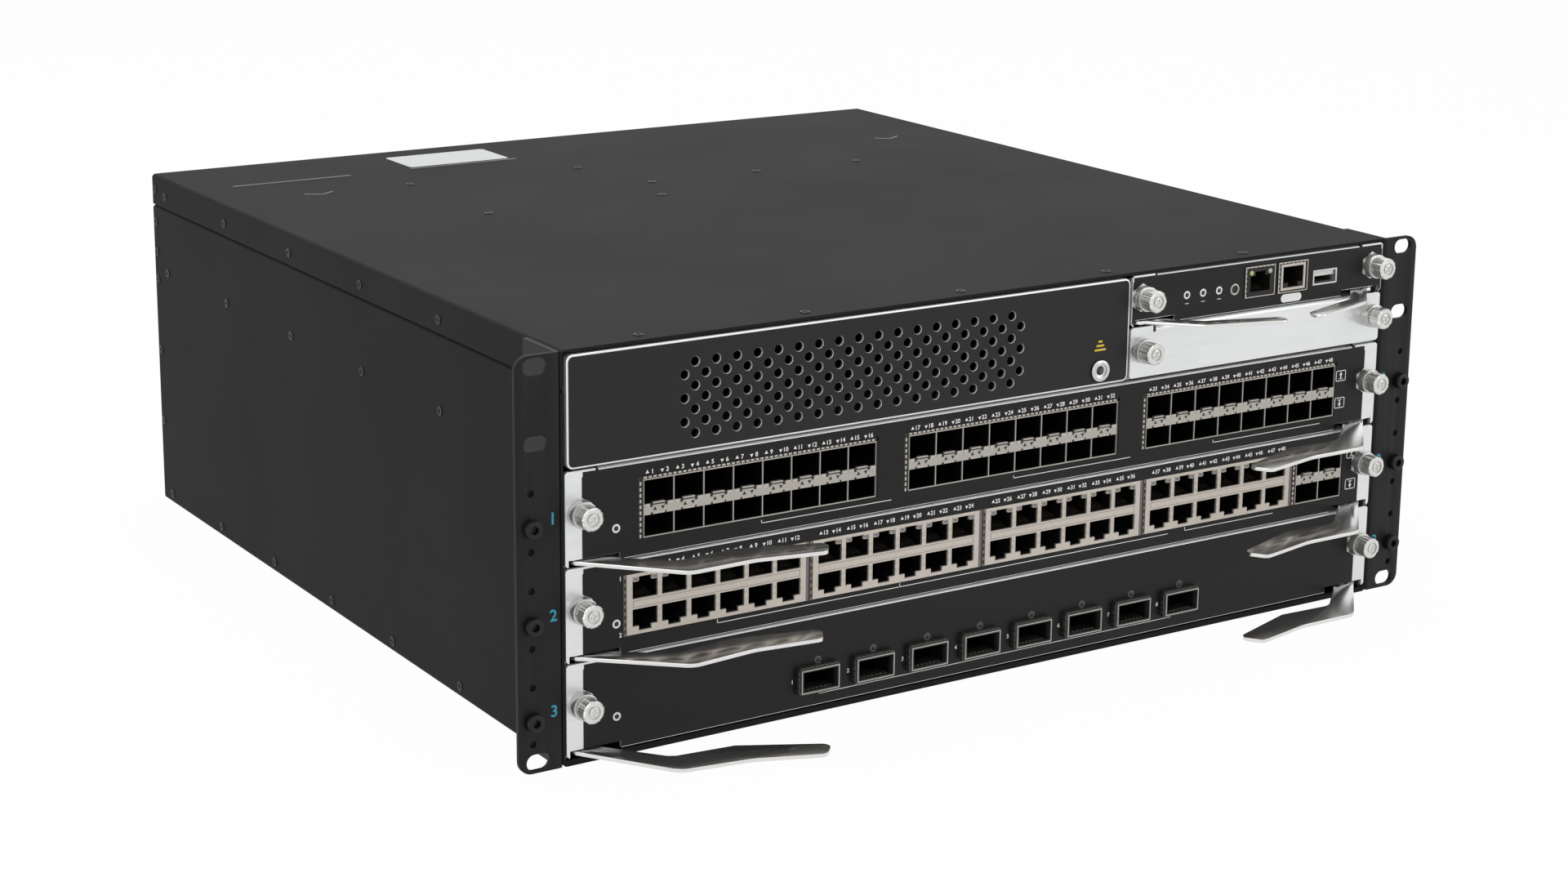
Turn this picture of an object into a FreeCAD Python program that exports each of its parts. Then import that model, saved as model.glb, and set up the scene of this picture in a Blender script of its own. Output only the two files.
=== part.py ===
import FreeCAD, Part
import math
import os

# Modular chassis switch, four rack units high: three line cards below, an air inlet panel, a
# control module and a filler panel above, two power supplies and a fan tray behind.
# Millimetres. +X right and +Y back, seen from the front; +Z up. The origin is the centre of
# the underside.

Vector = FreeCAD.Vector

# ---- Driving dimensions ---------------------------------------------------------------------

# Small turned parts and small holes are drawn with flat sides
ROUND_SIDES = 8
PIN_SIDES = 6

# Rack ears
RACK_WIDTH = 482.6
RACK_SLOT_INSET = 8.75
RACK_SLOT_LENGTH = 10.5
RACK_SLOT_WIDTH = 7.0
RACK_SLOT_LOW = 4.95
RACK_UNIT_PART = 31.75
EAR_SHEET = 2.0
EAR_RETURN = 28.0
EAR_CORNER = 6.0
EAR_TRIM = 0.3
EAR_REACH = 20.3
EAR_SCREW_INSET = 6.5
EAR_SCREW_RISE = 19.2
EAR_SCREW_HEAD = 3.8
EAR_SCREW_DEPTH = 3.6

# Body sheet metal
BODY_HEIGHT = 175.0
BODY_DEPTH = 445.0
SHEET = 1.2
COVER_SHEET = 1.0
BEND = 2.0
FRONT_SETBACK = 0.4
FLOOR_LIP = 2.5
COVER_LIP = 1.3
SEAM_DROP = 15.5
SEAM_GAP = 0.6
FIT = 0.2

# Card bay
CARD_COUNT = 3
CARD_CLEARANCE = 1.1
COVER_GAP = 0.35
SHELF_GAP = 0.6
PANEL_GAP = 0.74
MODULE_SHARE = 0.59018
PANEL_SIDE_GAP = 0.4
PANEL_SHEET = 1.5
PANEL_CORNER = 1.0
FLANGE_DEPTH = 9.0
FLANGE_INSET = 15.6
RELIEF = 1.6
RELIEF_DEPTH = 3.0
OVERLAY = 0.3
OVERLAY_INSET = 7.8
OVERLAY_DROP = 2.2
TRAY_RISE = 2.2
TRAY_DEPTH = 350.0
RAIL = 6.0
FRONT_RAIL = 70.0
REAR_RAIL = 30.0
BOARD_RISE = 5.6
CONTROL_BOARD_RISE = 4.0
BOARD_SHEET = 1.6
BOARD_INSET = 4.0
BRACKET_SETBACK = 2.2
BRACKET_SHEET = 1.2
BRACKET_REACH = 14.0
BRACKET_DEPTH = 14.0
GUIDE_HEIGHT = 5.0
GUIDE_GROOVE = 2.4
GUIDE_START = 22.0
SHELF_SETBACK = 10.0
BACKPLANE_SETBACK = 366.0
BACKPLANE_SHEET = 3.2
PLUG_DEPTH = 14.0
SINK_PLACE = (-40.0, 120.0)
SINK_SIZE = (60.0, 18.0)
SINK_FOOT = 4.0
SINK_FIN = 1.5
SINK_FINS = 4

# Top bay
MODULE_BAY = 152.15
DIVIDER_SHEET = 1.0
INLET_PROUD = 0.6
INLET_CORNER = 3.0
INLET_DEPTH = 11.0
INLET_EDGE = 0.8
HOLE_PITCH = 5.0
HOLE_FOOT = 7.43
AIR_HOLE = 3.55
HOLE_COLUMNS = 35
HOLE_INSET = 55.1
HOLE_DROP = 14.7
JACK_INSET = 16.95
JACK_RISE = 7.0
JACK_FLANGE = 5.0
JACK_BARREL = 3.6
JACK_BORE = 2.05
JACK_LENGTH = 14.0

# Captive thumb screws
SCREW_INSET = 6.6
MODULE_SCREW_INSET = 5.8
SCREW_RISE = 22.3
MODULE_SCREW_RISE = 12.9
FERRULE_RADIUS = 5.6
FERRULE_LENGTH = 4.7
FERRULE_BORE = 2.3
KNOB_RADIUS = 5.0
KNOB_LENGTH = 6.6
SHANK_RADIUS = 2.0
SHANK_END = 8.0
SHANK_CLEARANCE = 0.3

# Ejector levers, drawn from the pivot: along the panel, and outwards
PIVOT_INSET = 8.4
PIVOT_SETBACK = 7.0
PIVOT_RADIUS = 2.0
PIVOT_CLEARANCE = 0.06
PIVOT_HEAD = 3.6
PIVOT_HEAD_DEPTH = 0.5
LEVER_SHEET = 1.6
LEVER_HUB = 7.0
LEVER_MOUTH = (3.2, 3.4)
MOUTH_TURN = 35.0
LEVER_START = ((1.6, -1.7), (-4.5, 4.2))
LEVER_BEND = (29.4, 40.8, 9.0)
LEVER_MIDDLE = (61.0, 40.8, 25.0)
LEVER_TIP = ((91.5, 47.6, 4.0), (98.0, 38.0, 3.5))
LEVER_KINK = (60.0, 24.7, 0.0)
LEVER_ELBOW = (31.5, 26.0, -2.0)
SHORT_LEVER_START = ((2.8, -1.7), (-2.2, 4.2))
SHORT_LEVER_BEND = (18.6, 26.4, 9.0)
SHORT_LEVER_TIP = ((57.5, 38.7, 3.5), (60.0, 31.0, 3.5))
SHORT_LEVER_ELBOW = (22.0, 18.9, -2.0)
LEVER_RISE = 0.15
LEVER_SLOT_REACH = (6.9, 17.0)
LEVER_SLOT_RISE = 2.9
LEVER_TURNS = {"card_1_left": -1.0, "card_2_left": -6.0, "card_3_left": 8.5}

# Small form-factor cages, stacked two high
CAGE_INSET = 36.0
CAGE_END = 26.6
CAGE_GROUPS = 3
CAGE_GROUP_GAP = 17.1
CAGE_WALL = 0.5
CAGE_RISE = 7.2
CAGE_HEADROOM = 8.0
CAGE_LOW_ROW = 8.9
CAGE_BAR = 4.7
CAGE_DEPTH = 46.0
CAGE_COLLAR = (2.6, 0.9, 3.0)
WINDOW_GAP = 0.2
CAGE_COLUMNS = 8
UPLINK_INSET = 47.8
UPLINK_GAP = 1.75
UPLINK_COLUMNS = 2

# Twisted-pair jack blocks, two rows of six
BLOCK_INSET = 28.0
BLOCK_GAP = 3.55
BLOCK_HEADROOM = 6.7
BLOCK_DEPTH = 25.0
BLOCK_COUNT = 4
BLOCK_PORTS = 6
PORT_MARGIN = 2.725
PORT_RIM = 1.4
PORT_WIDTH = 11.85
PORT_HEIGHT = 7.4
PORT_KEY_WIDTH = 6.0
PORT_KEY_HEIGHT = 2.0
PORT_DEPTH = 20.0

# Wide cages of the third card
WIDE_COUNT = 8
WIDE_INSETS = (111.3, 108.31)
WIDE_WIDTH = 19.2
WIDE_HEIGHT = 10.4
WIDE_RISE = 7.4
WIDE_WALL = 0.8
WIDE_PROUD = 4.0
WIDE_DEPTH = 50.0
WIDE_COLLAR = 0.6

# Control module
MGMT_INSET = 85.6
CONSOLE_INSET = 65.5
JACK_WIDTH = 18.1
JACK_HEADROOM = 2.945
JACK_BOX_RISE = 5.7
USB_INSET = 43.9
USB_WIDTH = 14.8
USB_HEIGHT = 7.1
USB_RISE = 7.2
USB_DEPTH = 14.0
USB_WALL = 0.7
USB_TONGUE = (1.6, 1.0, 3.0, 1.1)
BUTTON_INSET = 91.3
BUTTON_RISE = 10.6
BUTTON_RADIUS = 1.7
BUTTON_LENGTH = 7.0
BUTTON_TRAVEL = 0.8
MODULE_FLANGE_INSET = 14.5

# Fan tray
FAN_COUNT = 3
FAN_MARGIN = 24.0
FAN_SIZE = 92.0
FAN_DEPTH = 25.0
FAN_DUCT = 44.0
FAN_TIP = 42.0
FAN_HUB = 19.0
FAN_BLADES = 5
FAN_PITCH_ANGLE = 38.0
FAN_BLADE = 1.6
FAN_AXLE = 2.0
FAN_AXLE_LENGTH = 16.0
STRUT = 3.0
DUCT_SIDES = 16
FAN_WINDOW_EDGES = (21.0, 8.0, 5.52)
FAN_PLATE_EDGES = (5.0, 5.0, 3.52)
GUARD_RADIUS = 42.0
GUARD_PITCH = 14.0
GUARD_SLOT = 9.0
TRAY_HANDLE = (48.0, 26.0)
HANDLE_STRAP = 2.5
HANDLE_BEND = 4.0
HANDLE_WIDTH = 12.0
FAN_SCREW_INSET = 13.0

# Earth studs of the rear wall
STUD_INSETS = (51.0, 31.0)
STUD_DROP = 27.0
STUD_RADIUS = 2.9
STUD_LENGTH = 12.0
STUD_NUT = 5.0
STUD_NUT_HEIGHT = 4.0
REAR_FOLD = 11.0
CUT = 1.0

# Power supplies
SUPPLY_COUNT = 2
SUPPLY_WIDTH = 101.6
SUPPLY_HEIGHT = 40.6
SUPPLY_DEPTH = 200.0
SUPPLY_INSET = 9.0
SUPPLY_PITCH = 106.0
SUPPLY_SHEET = 1.2
POWER_INLET = (8.0, 8.0, 30.0, 25.0, 18.0)
INLET_BEVEL = 5.0
VENT_COUNT = 4
VENT_PITCH = 9.0
VENT_WIDTH = 5.0
SUPPLY_HANDLE = (62.0, 30.0, 24.0)
LATCH_INSET = 7.0
LATCH_SETBACK = 18.0
LATCH_REACH = 14.0
LATCH_SHEET = 1.6
LATCH_HEIGHT = 10.0
LATCH_PIN = 1.5
LATCH_KINK = 4.0

# ---- Places worked out from them ------------------------------------------------------------

RACK_SLOT_SPAN = RACK_WIDTH - 2 * RACK_SLOT_INSET
EAR_SCREW_X = RACK_WIDTH / 2 - EAR_SCREW_INSET
TOP_SLOT = BODY_HEIGHT - 2 * RACK_SLOT_LOW
RACK_SLOT_RISES = (0.0, TOP_SLOT - RACK_UNIT_PART, TOP_SLOT)
HALF = RACK_WIDTH / 2 - EAR_REACH
FACE = -BODY_DEPTH / 2
BACK = BODY_DEPTH / 2
WALL_IN = HALF - SHEET
CARD_FLOOR = FLOOR_LIP + CARD_CLEARANCE
BAY_TOP = BODY_HEIGHT - COVER_LIP - COVER_GAP
CARD_PITCH = (BAY_TOP + PANEL_GAP - SHELF_GAP - CARD_FLOOR) / (CARD_COUNT + 2 * MODULE_SHARE)
CARD_HEIGHT = CARD_PITCH - PANEL_GAP
TOP_BAY = CARD_FLOOR + CARD_COUNT * CARD_PITCH
SHELF_TOP = TOP_BAY - 0.2
SHELF_SHEET = 1.0
SEAM = BODY_HEIGHT - SEAM_DROP
PANEL_HALF = WALL_IN - PANEL_SIDE_GAP
DIVIDER_X = PANEL_HALF - MODULE_BAY
MODULE_LEFT = DIVIDER_X + DIVIDER_SHEET / 2 + 0.25
MODULE_BASE = TOP_BAY + SHELF_GAP
MODULE_PITCH = (BAY_TOP - MODULE_BASE + PANEL_GAP) / 2
MODULE_HEIGHT = MODULE_PITCH - PANEL_GAP
CONTROL_BASE = MODULE_BASE + MODULE_PITCH
BRACKET_EDGE = WALL_IN - FIT - BRACKET_REACH
TRAY_HALF = BRACKET_EDGE - 0.7
PIVOT_Y = FACE + PIVOT_SETBACK
HOLE_FIRST_X = HOLE_INSET - PANEL_HALF
JACK_X = DIVIDER_X - JACK_INSET
FIRST_CAGE_X = CAGE_INSET - PANEL_HALF
CAGE_GROUPS_SPAN = 2 * PANEL_HALF - CAGE_INSET - CAGE_END + CAGE_GROUP_GAP
CAGE_GROUP_PITCH = CAGE_GROUPS_SPAN / CAGE_GROUPS
CAGE_PITCH = (CAGE_GROUP_PITCH - CAGE_GROUP_GAP) / CAGE_COLUMNS
CAGE_HEIGHT = CARD_HEIGHT - CAGE_RISE - CAGE_HEADROOM
UPLINK_X = PANEL_HALF - UPLINK_INSET
BLOCK_FIRST_X = BLOCK_INSET - PANEL_HALF
BLOCK_PITCH = (UPLINK_X - CAGE_COLLAR[0] - UPLINK_GAP - BLOCK_FIRST_X + BLOCK_GAP) / BLOCK_COUNT
BLOCK_WIDTH = BLOCK_PITCH - BLOCK_GAP
BLOCK_HEIGHT = CARD_HEIGHT - CAGE_RISE - BLOCK_HEADROOM
WIDE_FIRST_X = WIDE_INSETS[0] - PANEL_HALF
WIDE_PITCH = (2 * PANEL_HALF - WIDE_INSETS[0] - WIDE_INSETS[1] - WIDE_WIDTH) / (WIDE_COUNT - 1)
PORT_PITCH = (BLOCK_WIDTH - 2 * PORT_MARGIN - PORT_WIDTH) / (BLOCK_PORTS - 1)
PORT_BAR = BLOCK_HEIGHT - 2 * (PORT_HEIGHT + PORT_KEY_HEIGHT + PORT_RIM)
MGMT_X = PANEL_HALF - MGMT_INSET
CONSOLE_X = PANEL_HALF - CONSOLE_INSET
USB_X = PANEL_HALF - USB_INSET
BUTTON_X = PANEL_HALF - BUTTON_INSET
JACK_HEIGHT = MODULE_HEIGHT - JACK_BOX_RISE - JACK_HEADROOM
FAN_WINDOW = (HALF - FAN_WINDOW_EDGES[0], FAN_WINDOW_EDGES[1], TOP_BAY - FAN_WINDOW_EDGES[2])
FAN_PLATE = (HALF - FAN_PLATE_EDGES[0], FAN_PLATE_EDGES[1], TOP_BAY - FAN_PLATE_EDGES[2])
FAN_PITCH = FAN_WINDOW[0] - FAN_MARGIN - FAN_SIZE / 2
FAN_SCREW_X = FAN_SCREW_INSET - HALF
STUD_PLACES = (HALF - STUD_INSETS[0], HALF - STUD_INSETS[1])
STUD_Z = BODY_HEIGHT - STUD_DROP
SUPPLY_FIRST_X = SUPPLY_INSET - HALF
SUPPLY_BASE = SHELF_TOP + 0.3


# ---- Form helpers ---------------------------------------------------------------------------

def box(x, y, z):
    """Block between the two values of each pair."""
    return Part.makeBox(x[1] - x[0], y[1] - y[0], z[1] - z[0], Vector(x[0], y[0], z[0]))


def rectangle(a, b, radius=0.0):
    """Corners of a rectangle, as (a, b, corner radius)."""
    return [(a[0], b[0], radius), (a[1], b[0], radius), (a[1], b[1], radius), (a[0], b[1], radius)]


def regular(a, b, radius, sides, hole=False):
    """Corners of a regular polygon inside the radius, or round it when it is a hole."""
    reach = radius / math.cos(math.pi / sides) if hole else radius
    angles = [2 * math.pi * (i + 0.5) / sides for i in range(sides)]
    return [(a + reach * math.cos(t), b + reach * math.sin(t), 0.0) for t in angles]


def corner_arc(before, corner, after):
    """Start, middle and end of the arc at a corner; a negative radius cuts it straight."""
    here = Vector(corner[0], corner[1], 0)
    if corner[2] == 0:
        return here, None, here
    back = (Vector(before[0], before[1], 0) - here).normalize()
    onward = (Vector(after[0], after[1], 0) - here).normalize()
    if corner[2] < 0:
        return here - back * corner[2], None, here - onward * corner[2]
    half_angle = back.getAngle(onward) / 2
    setback = corner[2] / math.tan(half_angle)
    inward = (back + onward).normalize()
    middle = here + inward * (corner[2] / math.sin(half_angle) - corner[2])
    return here + back * setback, middle, here + onward * setback


def face_of(corners, place):
    """Flat face inside the rounded corners, laid out in space by place(a, b)."""
    count = len(corners)
    arcs = [corner_arc(corners[i - 1], corners[i], corners[(i + 1) % count]) for i in range(count)]
    edges = []
    for i, (start, middle, end) in enumerate(arcs):
        if middle is not None:
            edges.append(Part.Arc(place(*start[:2]), place(*middle[:2]), place(*end[:2])).toShape())
        elif start.distanceToPoint(end) > 1e-7:
            edges.append(Part.makeLine(place(*start[:2]), place(*end[:2])))
        following = arcs[(i + 1) % count][0]
        if end.distanceToPoint(following) > 1e-7:
            edges.append(Part.makeLine(place(*end[:2]), place(*following[:2])))
    return Part.Face(Part.Wire(edges))


def front_prism(corners, y):
    """Outline seen from the front, (x, z, radius), extruded along Y."""
    face = face_of(corners, lambda a, b: Vector(a, y[0], b))
    return face.extrude(Vector(0, y[1] - y[0], 0))


def plan_prism(corners, z):
    """Outline seen from above, (x, y, radius), extruded along Z."""
    face = face_of(corners, lambda a, b: Vector(a, b, z[0]))
    return face.extrude(Vector(0, 0, z[1] - z[0]))


def side_prism(corners, x):
    """Outline seen from the side, (y, z, radius), extruded along X."""
    face = face_of(corners, lambda a, b: Vector(x[0], a, b))
    return face.extrude(Vector(x[1] - x[0], 0, 0))


def rod(x, z, radius, y, sides=ROUND_SIDES):
    """Small round bar along Y."""
    return front_prism(regular(x, z, radius, sides), y)


def bore(x, z, radius, y, sides=PIN_SIDES):
    """Small round hole along Y."""
    return front_prism(regular(x, z, radius, sides, True), y)


def pin(x, y, radius, z, sides=PIN_SIDES):
    """Small round bar along Z."""
    return plan_prism(regular(x, y, radius, sides), z)


def mirrored(shape):
    """Copy on the other side of the middle plane."""
    return shape.mirror(Vector(0, 0, 0), Vector(1, 0, 0))


def fused(shapes):
    """One solid from touching or overlapping solids."""
    return shapes[0].fuse(shapes[1:]).removeSplitter()


def cut_all(shape, tools):
    """The shape less every tool."""
    return shape.cut(Part.makeCompound(tools)) if tools else shape


def card_base(number):
    """Underside of a line card's panel; card 1 is the top one."""
    return CARD_FLOOR + (CARD_COUNT - number) * CARD_PITCH


# ---- Case -----------------------------------------------------------------------------------

def chassis_tub():
    """Floor and side walls folded from one sheet; the walls step in under the cover."""
    step = COVER_SHEET + FIT
    top = BODY_HEIGHT - BEND - FIT
    low = SEAM - SEAM_GAP - step
    right = [(HALF, 0, BEND), (HALF, low, 0), (HALF - step, low + step, 0), (HALF - step, top, 0),
             (WALL_IN - step, top, 0), (WALL_IN - step, low + step, 0), (WALL_IN, low, 0),
             (WALL_IN, SHEET, BEND - SHEET)]
    left = [(-x, z, r) for x, z, r in reversed(right)]
    walls = front_prism(right + left, (FACE + FRONT_SETBACK, BACK))
    mouth = box((-HALF, HALF), (FACE, FACE + BRACKET_SETBACK + BRACKET_DEPTH + FIT), (low, BODY_HEIGHT))
    lip = box((-WALL_IN, WALL_IN), (FACE + FRONT_SETBACK, FACE + FRONT_SETBACK + SHEET), (SHEET, FLOOR_LIP))
    return fused([walls.cut(mouth), lip])


def top_cover():
    """Lid with folded sides and a narrow front lip."""
    inner = HALF - COVER_SHEET
    under = BODY_HEIGHT - COVER_SHEET
    right = [(HALF, SEAM, 0), (HALF, BODY_HEIGHT, BEND), (-HALF, BODY_HEIGHT, BEND), (-HALF, SEAM, 0),
             (-inner, SEAM, 0), (-inner, under, BEND - COVER_SHEET), (inner, under, BEND - COVER_SHEET),
             (inner, SEAM, 0)]
    lid = front_prism(right, (FACE + FRONT_SETBACK, BACK))
    lip = box((-WALL_IN + 2 * BEND, WALL_IN - 2 * BEND),
              (FACE + FRONT_SETBACK, FACE + FRONT_SETBACK + COVER_SHEET), (BODY_HEIGHT - COVER_LIP, under))
    return fused([lid, lip])


def ear():
    """Left rack ear: an angle whose return lies against the side wall."""
    edge = RACK_WIDTH / 2
    z = (EAR_TRIM, BODY_HEIGHT - EAR_TRIM)
    angle = [(-edge, FACE, 0), (-HALF, FACE, -EAR_SHEET / 2), (-HALF, FACE + EAR_RETURN, 0),
             (-HALF - EAR_SHEET, FACE + EAR_RETURN, 0), (-HALF - EAR_SHEET, FACE + EAR_SHEET, 0),
             (-edge, FACE + EAR_SHEET, 0)]
    outline = [(-edge, z[0], EAR_CORNER), (-HALF, z[0], 0), (-HALF, z[1], 0), (-edge, z[1], EAR_CORNER)]
    body = plan_prism(angle, z).common(front_prism(outline, (FACE, FACE + EAR_RETURN)))
    through = (FACE - 1, FACE + EAR_SHEET + 1)
    reach = RACK_SLOT_LENGTH / 2
    tools = []
    for rise in RACK_SLOT_RISES:
        middle = RACK_SLOT_LOW + rise
        corners = rectangle((-RACK_SLOT_SPAN / 2 - reach, -RACK_SLOT_SPAN / 2 + reach),
                            (middle - RACK_SLOT_WIDTH / 2, middle + RACK_SLOT_WIDTH / 2),
                            RACK_SLOT_WIDTH / 2 - 0.001)
        tools.append(front_prism(corners, through))
    return cut_all(body, tools)


def ear_screws():
    """Heads of the socket screws, three on each ear."""
    screws = []
    for number in range(1, CARD_COUNT + 1):
        z = card_base(number) + EAR_SCREW_RISE
        screw = rod(-EAR_SCREW_X, z, EAR_SCREW_HEAD, (FACE - EAR_SCREW_DEPTH, FACE))
        screws += [screw, mirrored(screw)]
    return Part.makeCompound(screws)


# ---- Frame inside the case ------------------------------------------------------------------

def bracket(z):
    """Right-hand fixing bracket: a web on the wall and a flange behind the panels."""
    outer = WALL_IN - FIT
    front = FACE + BRACKET_SETBACK
    corners = [(outer, front, 0), (outer, front + BRACKET_DEPTH, 0),
               (outer - BRACKET_SHEET, front + BRACKET_DEPTH, 0),
               (outer - BRACKET_SHEET, front + BRACKET_SHEET, 0),
               (BRACKET_EDGE, front + BRACKET_SHEET, 0), (BRACKET_EDGE, front, 0)]
    return plan_prism(corners, z)


def lever_window(x, base):
    """Clear space for a lever's hub and pivot in a bracket's flange."""
    return box(x, (FACE, FACE + BRACKET_SETBACK + BRACKET_SHEET + 0.5), (base - 1.5, base + TRAY_RISE + 2.0))


def screw_hole(x, z):
    """Hole for a thumb screw's shank in a bracket's flange."""
    return bore(x, z, SHANK_RADIUS + SHANK_CLEARANCE, (FACE, FACE + BRACKET_SETBACK + BRACKET_SHEET + 0.5))


def bay_frame():
    """Welded sheet frame: side brackets, the shelf over the cards and the top bay's walls."""
    foot = BEND + 2 * FIT
    right = bracket((foot, BAY_TOP - 1.5))
    left = mirrored(bracket((foot, SHELF_TOP - SHELF_SHEET)))
    tools = []
    flange = (BRACKET_EDGE - 1, WALL_IN - FIT - BRACKET_SHEET)
    for number in range(1, CARD_COUNT + 1):
        base = card_base(number)
        for hole in (lever_window(flange, base), screw_hole(PANEL_HALF - SCREW_INSET, base + SCREW_RISE)):
            tools += [hole, mirrored(hole)]
    tools.append(lever_window(flange, CONTROL_BASE))
    shelf_z = (SHELF_TOP - SHELF_SHEET, SHELF_TOP)
    edge = WALL_IN - FIT
    rear = FACE + BACKPLANE_SETBACK - 1
    shelf = plan_prism([(-edge, FACE + SHELF_SETBACK, 0), (edge, FACE + SHELF_SETBACK, 0), (edge, rear, 0),
                        (DIVIDER_X + DIVIDER_SHEET / 2, rear, 0), (DIVIDER_X + DIVIDER_SHEET / 2, BACK - 3, 0),
                        (-edge, BACK - 3, 0)], shelf_z)
    wall = (DIVIDER_X - DIVIDER_SHEET / 2, DIVIDER_X + DIVIDER_SHEET / 2)
    divider = box(wall, (FACE + BRACKET_SETBACK, rear), (SHELF_TOP - FIT, BAY_TOP - 1.5))
    front = FACE + BRACKET_SETBACK
    tab = box((wall[1], wall[1] + BRACKET_REACH - 1), (front, front + BRACKET_SHEET), (SHELF_TOP, BAY_TOP - 1.5))
    tools.append(lever_window((wall[1], wall[1] + BRACKET_REACH), CONTROL_BASE))
    for base in (MODULE_BASE, CONTROL_BASE):
        tools.append(screw_hole(PANEL_HALF - SCREW_INSET, base + MODULE_SCREW_RISE))
        tools.append(screw_hole(MODULE_LEFT + MODULE_SCREW_INSET, base + MODULE_SCREW_RISE))
    pieces = [right, left, shelf, divider, tab]
    for i in range(1, SUPPLY_COUNT + 1):
        x = SUPPLY_FIRST_X + i * SUPPLY_PITCH - (SUPPLY_PITCH - SUPPLY_WIDTH) / 2
        pieces.append(box((x - DIVIDER_SHEET / 2, x + DIVIDER_SHEET / 2), (BACK - SUPPLY_DEPTH, BACK - 3),
                          (SHELF_TOP, BAY_TOP - 2)))
    return cut_all(fused(pieces), tools)


def guide(inner, outer, base):
    """One rail with a groove for the edge of a tray; it opens towards inner."""
    y = (FACE + GUIDE_START, FACE + TRAY_DEPTH)
    z = (base + TRAY_RISE + SHEET / 2 - GUIDE_HEIGHT / 2, base + TRAY_RISE + SHEET / 2 + GUIDE_HEIGHT / 2)
    groove = (base + TRAY_RISE + SHEET / 2 - GUIDE_GROOVE / 2, base + TRAY_RISE + SHEET / 2 + GUIDE_GROOVE / 2)
    way = 1 if outer > inner else -1
    bottom = inner + way * 3.4
    corners = [(inner, z[0], 0), (outer, z[0], 0), (outer, z[1], 0), (inner, z[1], 0),
               (inner, groove[1], 0), (bottom, groove[1], 0), (bottom, groove[0], 0), (inner, groove[0], 0)]
    return front_prism(corners, y)


def card_guides():
    """Moulded rails: a pair for each line card and for each slot of the top bay."""
    rails = []
    inner = TRAY_HALF - 3.0
    for number in range(1, CARD_COUNT + 1):
        rail = guide(inner, WALL_IN - FIT, card_base(number))
        rails += [rail, mirrored(rail)]
    near = DIVIDER_X + DIVIDER_SHEET / 2 + FIT
    for base in (MODULE_BASE, CONTROL_BASE):
        rails.append(guide(inner, WALL_IN - FIT, base))
        rails.append(guide(module_tray()[0] + 3.0, near, base))
    return Part.makeCompound(rails)


def backplane():
    """Circuit board that joins the slots, with a header for each plug."""
    y = (FACE + BACKPLANE_SETBACK, FACE + BACKPLANE_SETBACK + BACKPLANE_SHEET)
    low = SHEET + 0.4
    edge = WALL_IN - 12
    step = SHELF_TOP - SHELF_SHEET - 0.4
    inner = DIVIDER_X + 4
    corners = [(-edge, low, 0), (edge, low, 0), (edge, BAY_TOP - 4, 0), (inner, BAY_TOP - 4, 0),
               (inner, step, 0), (-edge, step, 0)]
    pieces = [front_prism(corners, y)]
    header = (FACE + BACKPLANE_SETBACK - PLUG_DEPTH + 6, y[0])
    for number in range(1, CARD_COUNT + 1):
        base = card_base(number) + BOARD_RISE + BOARD_SHEET
        for x in plug_places(-TRAY_HALF, TRAY_HALF):
            pieces.append(box(x, header, (base + 1, base + 11)))
    base = CONTROL_BASE + CONTROL_BOARD_RISE + BOARD_SHEET
    for x in plug_places(*module_tray()):
        pieces.append(box(x, header, (base + 1, base + 11)))
    return fused(pieces)


def plug_places(low, high):
    """Where the plugs and headers of a board lie, as pairs along X."""
    span = high - low
    return [(low + span * share, low + span * (share + 0.22)) for share in (0.12, 0.66)]


def rear_panel():
    """Rear wall with folded edges, windows for the rear modules and two earth studs."""
    edge = WALL_IN - COVER_SHEET - 2 * FIT
    z = (SHEET + FIT, BODY_HEIGHT - COVER_SHEET - FIT)
    shell = box((-edge, edge), (BACK - REAR_FOLD, BACK - FIT), z)
    inner = (BACK - REAR_FOLD - CUT, BACK - FIT - SHEET)
    hollow = box((-edge + SHEET, edge - SHEET), inner, (z[0] + SHEET, z[1] - SHEET))
    wide, low, high = FAN_WINDOW
    span = (BACK - REAR_FOLD - CUT, BACK + CUT)
    tools = [hollow, box((-wide, wide), span, (low, high))]
    for i in range(SUPPLY_COUNT):
        x = SUPPLY_FIRST_X + i * SUPPLY_PITCH
        rise = (SUPPLY_BASE - 2 * FIT, SUPPLY_BASE + SUPPLY_HEIGHT + 2 * FIT)
        tools.append(box((x - 2 * FIT, x + SUPPLY_WIDTH + 2 * FIT), span, rise))
    tools.append(bore(FAN_SCREW_X, fan_height(), SHANK_RADIUS + SHANK_CLEARANCE, span))
    shelf = (SHELF_TOP - SHELF_SHEET - FIT, SHELF_TOP + FIT)
    tools.append(box((-edge - CUT, edge + CUT), inner, shelf))
    panel = cut_all(shell, tools)
    studs = []
    for x in STUD_PLACES:
        studs.append(rod(x, STUD_Z, STUD_RADIUS, (BACK - FIT - SHEET, BACK + STUD_LENGTH), PIN_SIDES))
        studs.append(rod(x, STUD_Z, STUD_NUT, (BACK - FIT, BACK + STUD_NUT_HEIGHT), 6))
    return fused([panel] + studs)


# ---- Air inlet ------------------------------------------------------------------------------

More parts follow.
